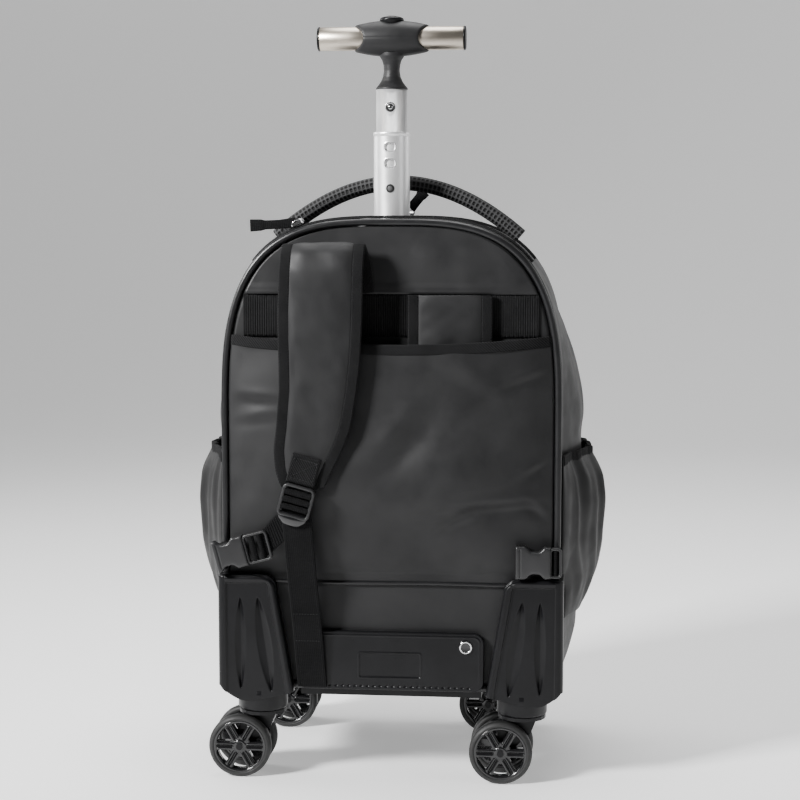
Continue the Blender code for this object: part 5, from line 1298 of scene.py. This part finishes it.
# A wheel: its face and back with walls round the windows, and its tyre
def makeWheel(name, body, centre, outward):
    rr, angle, height, cut = wheelParts()
    rows, columns = rr.shape
    size = rows * columns
    front = together(centre[0] + rr * np.cos(angle), centre[1] + outward * height, centre[2] + rr * np.sin(angle))
    back = front.copy()
    back[..., 1] = centre[1] - outward * wheel["face"]
    cells = gridFaces(rows, columns, False, True)[~cut.ravel()]
    quads = [cells, cells[:, ::-1] + size, wallFaces(np.arange(columns) + size - columns, size, True)]
    padded = np.concatenate([np.zeros((1, columns), bool), cut, np.zeros((1, columns), bool)])
    row, column = np.nonzero(padded[1:] != padded[:-1])
    a, b = row * columns + column, row * columns + (column + 1) % columns
    quads.append(together(a, b, b + size, a + size))
    row, column = np.nonzero(cut != np.roll(cut, 1, 1))
    a, b = row * columns + column, (row + 1) * columns + column
    quads.append(together(a, b, b + size, a + size))
    points = np.concatenate([front.reshape(-1, 3), back.reshape(-1, 3)])
    makePiece(name + "_rim", points, np.concatenate(quads), uv=points[:, [0, 2]], material=glossPlastic, body=body,
              slot="tyre_rubber", weld=True, replaces=(name,))
    spun(name + "_tyre", np.array(wheel["tyre"]) * (mm, outward * mm), centre, "Y", 96, material=tyreRubber, body=body)


for where, (stemX, stemY) in wheel["stems"].items():
    for which, sign in (("near", -1), ("far", 1)):
        hub = (stemX * mm - wheel["trail"], yAt(stemY * mm) + sign * wheel["spacing"], wheel["radius"])
        makeWheel(f"wheel_{where}_{which}", f"roller_{where}_{which}", hub, sign)
print("casters made")

pole = {"x": -3 * mm, "y": 45 * mm, "lower": 15.5 * mm, "upper": 13.3 * mm, "wall": 1.8 * mm, "lowerTop": 554 * mm,
        "lowerBase": 165 * mm, "upperTop": 590 * mm, "upperBase": 200 * mm, "holes": (13 * mm, 26.6 * mm),
        "holeHalf": (4.8 * mm, 3.5 * mm, 2.6 * mm), "holeDepth": 1.7 * mm, "fineFrom": 520 * mm}


# A flush disc wrapped onto a tube: rows are (radius, height over the tube) in millimetres
def tubeDisc(name, body, tubeRadius, height, material, rows):
    turn = ringOf(40)
    rows = np.array(rows) * mm
    side, up = rows[:, :1] * np.cos(turn), rows[:, :1] * np.sin(turn)
    out, angle = tubeRadius + rows[:, 1:], side / tubeRadius
    rings = together(pole["x"] + out * np.sin(angle), yAt(pole["y"]) - out * np.cos(angle), height + up)
    closedTube(name, rings, material=material, body=body)


# The spring pin in the upper tube and the screw in the lower one, each of flush discs
pinRings = ((3.0, -0.5), (4.5, -0.5), (4.5, 0.2), (4.1, 0.33), (3.4, 0.33), (3.0, 0.1))
screwRings = ((0.1, -0.5), (3.7, -0.5), (3.7, 0.2), (3.3, 0.3), (2.4, 0.1), (0.1, 0.1))
tubeDiscs = (
    ("tube_pin_dish", "handle", softRubber, ((0.1, -0.5), (3.6, -0.5), (3.6, 0.12), (0.1, 0.12))),
    ("tube_pin_ring", "handle", brightSteel, pinRings),
    ("tube_pin_ball", "handle", brightSteel, ((0.1, -0.3), (1.9, -0.3), (1.9, 0.15), (1.3, 0.28), (0.1, 0.34))),
    ("tube_screw", "lower_stage", softRubber, screwRings),
    ("tube_screw_head", "lower_stage", holeShade, ((0.1, -0.3), (2.1, -0.3), (2.1, 0.2), (1.6, 0.3), (0.1, 0.33))),
)
discPlaces = {"handle": (pole["upper"], 574.5 * mm), "lower_stage": (pole["lower"], 506 * mm)}


# A tube as a closed profile; the lower one has a lip on top and two oblong holes sunk into its front
def makeTubes():
    look = pole
    axis = (look["x"], yAt(look["y"]), 0)
    top, r, wall = look["lowerTop"], look["lower"], look["wall"]
    z = np.concatenate([np.linspace(look["lowerBase"], look["fineFrom"], 6, endpoint=False),
                        np.linspace(look["fineFrom"], top - 4 * mm, 91)])
    lip = np.array([(r, top - 2.9 * mm), (r + 0.5 * mm, top - 2.5 * mm), (r + 0.5 * mm, top - 0.4 * mm), (r, top),
                    (r - wall, top), (r - wall, look["lowerBase"])])
    holes = [top - down for down in look["holes"]]

    def sink(radius, height, turn):
        across = np.mod(turn + np.pi / 2 + np.pi, 2 * np.pi) - np.pi
        for hole in holes:
            inside = insideRectangle(across * r, height - hole, *look["holeHalf"])
            depth = look["holeDepth"] * easeStep(inside / (0.5 * mm) + 0.2)
            depth = depth - 0.2 * mm * hump(inside, -0.4 * mm, 0.4 * mm)
            radius = radius - np.where(radius > r - 0.1 * mm, depth, 0)
        return radius, height

    spun("lower_tube_metal", np.concatenate([together(r, z), lip]), axis, "Z", 256, relief=sink,
         material=brushedAluminium, body="lower_stage", replaces=("lower_tube",))
    upper, top, low = look["upper"], look["upperTop"], look["upperBase"]
    spun("upper_tube_metal", [(upper, low), (upper, top), (upper - wall, top), (upper - wall, low)], axis, "Z", 128,
         material=brushedAluminium, body="handle", replaces=("upper_tube",))
    # Round each hole runs a thin dark ring of holeShade: painted shade on the hole's cut edge
    rim = resample(roundedRectangle(9.8 * mm, 7.2 * mm, 2.7 * mm, 8), 72, True)
    turn = rim[:, 0] / r
    for number, height in enumerate(holes):
        path = together(axis[0] + r * np.sin(turn), axis[1] - (r - 0.21 * mm) * np.cos(turn), height + rim[:, 1])
        sweep(f"hole_shade_rim_{number}", path, roundedRectangle(0.8 * mm, 0.5 * mm, 0.15 * mm, 3), (0, -1, 0), True,
              material=holeShade, body="lower_stage")
    for name, body, material, rows in tubeDiscs:
        tubeDisc(name, body, *discPlaces[body], material, rows)


# Rows of the T-handle's turned parts, in millimetres: neck and button (height over the grip's middle, radius),
# grip and plug (radius, place from the middle)
tee = {
    "grip": 633 * mm, "coreHalf": 31.6 * mm, "coreEnd": 9.6 * mm, "coreWaist": 11.2 * mm, "coreBelly": 4.2 * mm,
    "cutBack": 8.2 * mm, "seam": 0.3 * mm, "neckEase": 0.05,
    "neck": ((-42.9, 13.7), (-42.0, 13.7), (-41.4, 13.3), (-39.2, 11.4), (-36.2, 9.3), (-32.3, 7.6), (-27.3, 6.8),
             (-22.3, 7.2), (-18.4, 8.3), (-15.2, 10.4), (-12, 10.6)),
    "gripRows": ((0, 18), (9.9, 18), (10, 18.4), (10, 61.1), (9.6, 61.6), (0, 61.6)),
    "plugRows": ((0, 61.6), (10.2, 61.6), (10.3, 62.1), (10.0, 63.1), (9.2, 63.5), (0, 63.5)),
    "button": ((0, 7), (9.6, 7), (9.6, 14.2), (10.4, 14.9), (10.2, 16.4), (9.2, 17.4), (7.4, 18.1), (4.2, 18.3),
               (3.9, 18.9), (0, 19)),
}


# The rubber core: radius falls as 1 - |x|^1.9 to its ends, which are cut back in an arc at front and back
def makeHandle():
    look = tee
    centre = np.array([pole["x"], yAt(pole["y"]), look["grip"]])
    v = np.concatenate([[-1.0], np.linspace(-1, 1, 90), [1.0]])[:, None]
    turn = ringOf(120)[None, :]
    x = v * (look["coreHalf"] - look["cutBack"] * np.abs(np.cos(turn)) ** 1.7)
    r = look["coreWaist"] + look["coreBelly"] * (1 - (np.abs(x) / look["coreHalf"]) ** 1.9)
    r = r - 0.7 * mm * clamp((np.abs(v) - 0.94) / 0.06) ** 2
    r = r - look["seam"] * hump(np.sin(turn), 0, 0.025)
    r[0], r[-1] = look["coreEnd"], look["coreEnd"]
    closedTube("handle_core_rubber", together(x, r * np.cos(turn), r * np.sin(turn)) + centre, material=softRubber,
               body="handle", replaces=("handle_core",))
    neck = np.array(look["neck"]) * mm
    height = np.linspace(neck[0, 0], neck[-1, 0], 60)
    line = together(easedRows(height, neck, look["neckEase"]), height)
    line = np.concatenate([[(0, height[0])], line, [(0, height[-1])]])
    spun("handle_neck_rubber", line, centre, "Z", 72, material=softRubber, body="handle")
    for side, sign in sides:
        spun("grip_metal_" + side, np.array(look["gripRows"]) * (mm, sign * mm), centre, "X", 96, material=gripMetal,
             body="handle", replaces=("grip_" + side,))
        spun("end_plug_" + side, np.array(look["plugRows"]) * (mm, sign * mm), centre, "X", 64, material=satinPlastic,
             body="handle", replaces=("end_cap_" + side,))
    spun("button_cap", np.array(look["button"]) * mm, centre, "Z", 64, material=satinPlastic, body="button",
         replaces=("push_button",))


collar = {"inner": 16.1 * mm, "outer": 20.5 * mm, "low": 480.8 * mm, "high": 483.0 * mm, "cut": 17.6 * mm}


# The collar where the pole leaves the bag
def makeExitCollar():
    a, b, low, high = (collar[k] for k in ("inner", "outer", "low", "high"))
    rows = [(a, low), (b, low), (b, low + 0.9 * mm), (b - 1.2 * mm, high), (a + 0.6 * mm, high), (a, high - 0.4 * mm)]
    spun("exit_collar_rubber", rows, (pole["x"], yAt(pole["y"]), 0), "Z", 72, material=softRubber,
         replaces=("pole_exit_ring",))


# The crown's cloth is cut open round the pole, and the edge of the cut is drawn onto a circle
def cutForPole(name, radius):
    mesh = bpy.data.objects[name].data
    centre = (pole["x"], yAt(pole["y"]))
    build = bmesh.new()
    build.from_mesh(mesh)
    inside = [f for f in build.faces if f.calc_center_median().z > bag["top"] - 20 * mm
              and math.dist(f.calc_center_median().xy, centre) < radius]
    bmesh.ops.delete(build, geom=inside, context="FACES")
    rim = [edge for edge in build.edges if edge.is_boundary]
    for vert in {vert for edge in rim for vert in edge.verts}:
        share = radius / math.dist(vert.co.xy, centre)
        vert.co.x = centre[0] + (vert.co.x - centre[0]) * share
        vert.co.y = centre[1] + (vert.co.y - centre[1]) * share
    bmesh.ops.bridge_loops(build, edges=rim)
    build.to_mesh(mesh)
    build.free()


makeTubes()
makeHandle()
makeExitCollar()
cutForPole("gusset_cloth", collar["cut"])
print("pole and handle made")

# mesh is the lozenges' pitch along the handle, their pitch round it and their depth
grab = {"y": 78 * mm, "width": 30 * mm, "thick": 13 * mm, "top": 511.5 * mm, "half": 106.5 * mm, "drop": 46.5 * mm,
        "mesh": (7.4 * mm, 4.6 * mm, 0.75 * mm), "along": 520, "round": 112, "lozenges": 16}


# Air mesh: painted shade darkens the holes, where |cos * cos| on the UV is high, the same lozenges as the handle's
# geometry
def makeAirMesh():
    material = newMaterial("airMesh", "coated_fabric", (0.03, 0.03, 0.031), 0.7, Specular_IOR_Level=0.2)
    flat = coordinates(material, "UV")
    across = ramp(material, bands(material, flat, 2 * grab["mesh"][1]), -1, 1)
    along = ramp(material, bands(material, flat, grab["mesh"][0], "Y"), -1, 1)
    hole = maths(material, "ABSOLUTE", maths(material, "MULTIPLY", across, along))
    # Painted shade: the colour falls to near black in the mesh's holes
    feed(material, "Base Color", colourBetween(material, hole, (0.040, 0.040, 0.041), (0.002, 0.002, 0.002), 0.22, 0.5))
    bumps(material, (noise(material, coordinates(material), 900, 3), 0.4, 0.2 * mm))
    return material


airMesh = makeAirMesh()


# The grab handle: a padded band along a parabola. Its mesh is cos * cos lozenges sunk along and round it
def makeGrabHandle():
    look = grab
    pitch, roundPitch, depth = look["mesh"]
    x = np.linspace(-look["half"], look["half"], 900)
    path = resample(together(x, yAt(look["y"]), look["top"] - look["drop"] * (x / look["half"]) ** 2), look["along"])
    c, s = np.cos(ringOf(look["round"])), np.sin(ringOf(look["round"]))
    oval = together(np.sign(c) * np.abs(c) ** 0.55 * look["width"], np.sign(s) * np.abs(s) ** 0.75 * look["thick"]) / 2
    rings = sweep("", path, resample(oval, look["round"], True), (0, -1, 0), build=False)
    off = rings - path[:, None]
    normals = gridNormals(np.concatenate([rings[:, -1:], rings, rings[:, :1]], 1))[:, 1:-1]
    normals = normals * np.sign((normals * off).sum(-1, keepdims=True))
    run = runAlong(path)[:, None]
    edge = np.linspace(0, 1, look["round"], endpoint=False)[None, :] * look["lozenges"] * roundPitch
    lozenge = np.cos(2 * np.pi * run / pitch) * np.cos(np.pi * edge / roundPitch)
    plainTop = off[..., 2] > look["thick"] * 0.36
    sunk = depth * (clamp(np.abs(lozenge) - 0.35) / 0.65) ** 0.8 * ~plainTop
    handle = closedTube("grab_handle_padding", rings - normals * sunk[..., None], together(edge, run), material=airMesh,
                        replaces=("grab_handle",))


zips = {"width": 7 * mm, "height": 1.6 * mm, "reach": 118 * mm, "length": 260 * mm, "tooth": 1.5 * mm,
        "bridge": (5.2 * mm, 2.6 * mm, 0.4 * mm), "bridgeLift": 4.2 * mm,
        "sliders": (("back", 15 * mm, -80 * mm), ("main", 118 * mm, 5 * mm))}


# A zip's chain over the crown: two rows of teeth, |sin| along it, half a pitch apart, and its slider's bridge
def makeZip(name, y, sliderX):
    look = zips
    x = np.linspace(-look["reach"], look["reach"], 900)
    line = resample(together(x, crownZ(x)), 760)
    x, z = line[:, :1], line[:, 1:]
    run = np.arange(760)[:, None] / 760 * look["length"]
    u = rowOf(-1, 1, 22)
    tooth = np.abs(np.sin(np.pi * run / look["tooth"] + np.pi / 2 * (u > 0))) ** 0.7
    lift = gap + 0.7 * mm + look["height"] * tooth * np.exp(-(u / 0.55) ** 4)
    normal = unit(together(-np.gradient(z[:, 0]), 0, np.gradient(x[:, 0])))
    normal = normal * np.sign(normal[:, 2:])
    base = together(x, yAt(y) + u * look["width"] / 2, z)
    front, back = base + lift[..., None] * normal[:, None], base + (gap * normal)[:, None]
    closedSheet("zip_chain_" + name, front, back, material=bindingTwill, replaces=("zip_coil_" + name,))
    half, high, up = look["bridge"]
    over = crownZ(sliderX, look["bridgeLift"])
    lean = math.atan2(crownZ(sliderX + mm) - crownZ(sliderX - mm), 2 * mm)
    t = np.linspace(-0.2, np.pi + 0.2, 24)
    along, out = half * np.cos(t), high * np.sin(t) + up
    path = together(sliderX + along * math.cos(lean) - out * math.sin(lean), yAt(y),
                    over + along * math.sin(lean) + out * math.cos(lean))
    sweep("zip_bridge_" + name, path, roundedRectangle(2.2 * mm, 1.2 * mm, 0.5 * mm, 3), (0, 1, 0),
          material=brightSteel)


# A pull tab: tape through (x, depth, z) rows in millimetres, wider by flare and thicker at its free end
def makePull(name, rows, hint, wide, thick, flare):
    path = resample(np.array(rows) * mm + [0, bag["backY"], 0], 60)
    share = np.linspace(0, 1, 60)
    swell = 1 + (flare - 1) * easeStep((share - 0.66) / 0.12)
    scale = together(swell * (1 - 0.1 * np.sin(np.pi * share)), 1 + (swell - 1) * 2.2)
    sweep("zip_tape_" + name, path, roundedRectangle(wide, thick, thick * 0.45, 4), hint, scale=scale,
          material=crossWebbing, replaces=("zip_pull_" + name,))


makeGrabHandle()
for name, y, sliderX in zips["sliders"]:
    makeZip(name, y, sliderX)
makePull("back", ((-82, 15, 477.4), (-96, 15, 475.6), (-121, 15, 474.6)), (0, 0, 1), 8.6 * mm, 2 * mm, 1.22)
makePull("main", ((6.4, 118, 489), (13, 118, 497), (19, 118, 504.5)), (0.8, 0, -0.6), 9.5 * mm, 2 * mm, 1.15)
print("grab handle and zips made")

# Pieces cut from flat cloth: (width, length) and area of the cut, and what they are sewn to
sheets = {
    "gusset_cloth": ((0.200, 1.300), None, ["back_panel_cloth", "front_panel_cloth"]),
    "back_panel_cloth": ((0.284, 0.396), 0.1075, ["gusset_cloth"]),
    "front_panel_cloth": ((0.286, 0.398), 0.1090, ["gusset_cloth"]),
    "yoke_cloth": ((0.252, 0.060), 0.0119, ["back_panel_cloth"]),
}
for name, (flat, area, under) in sheets.items():
    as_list(under)
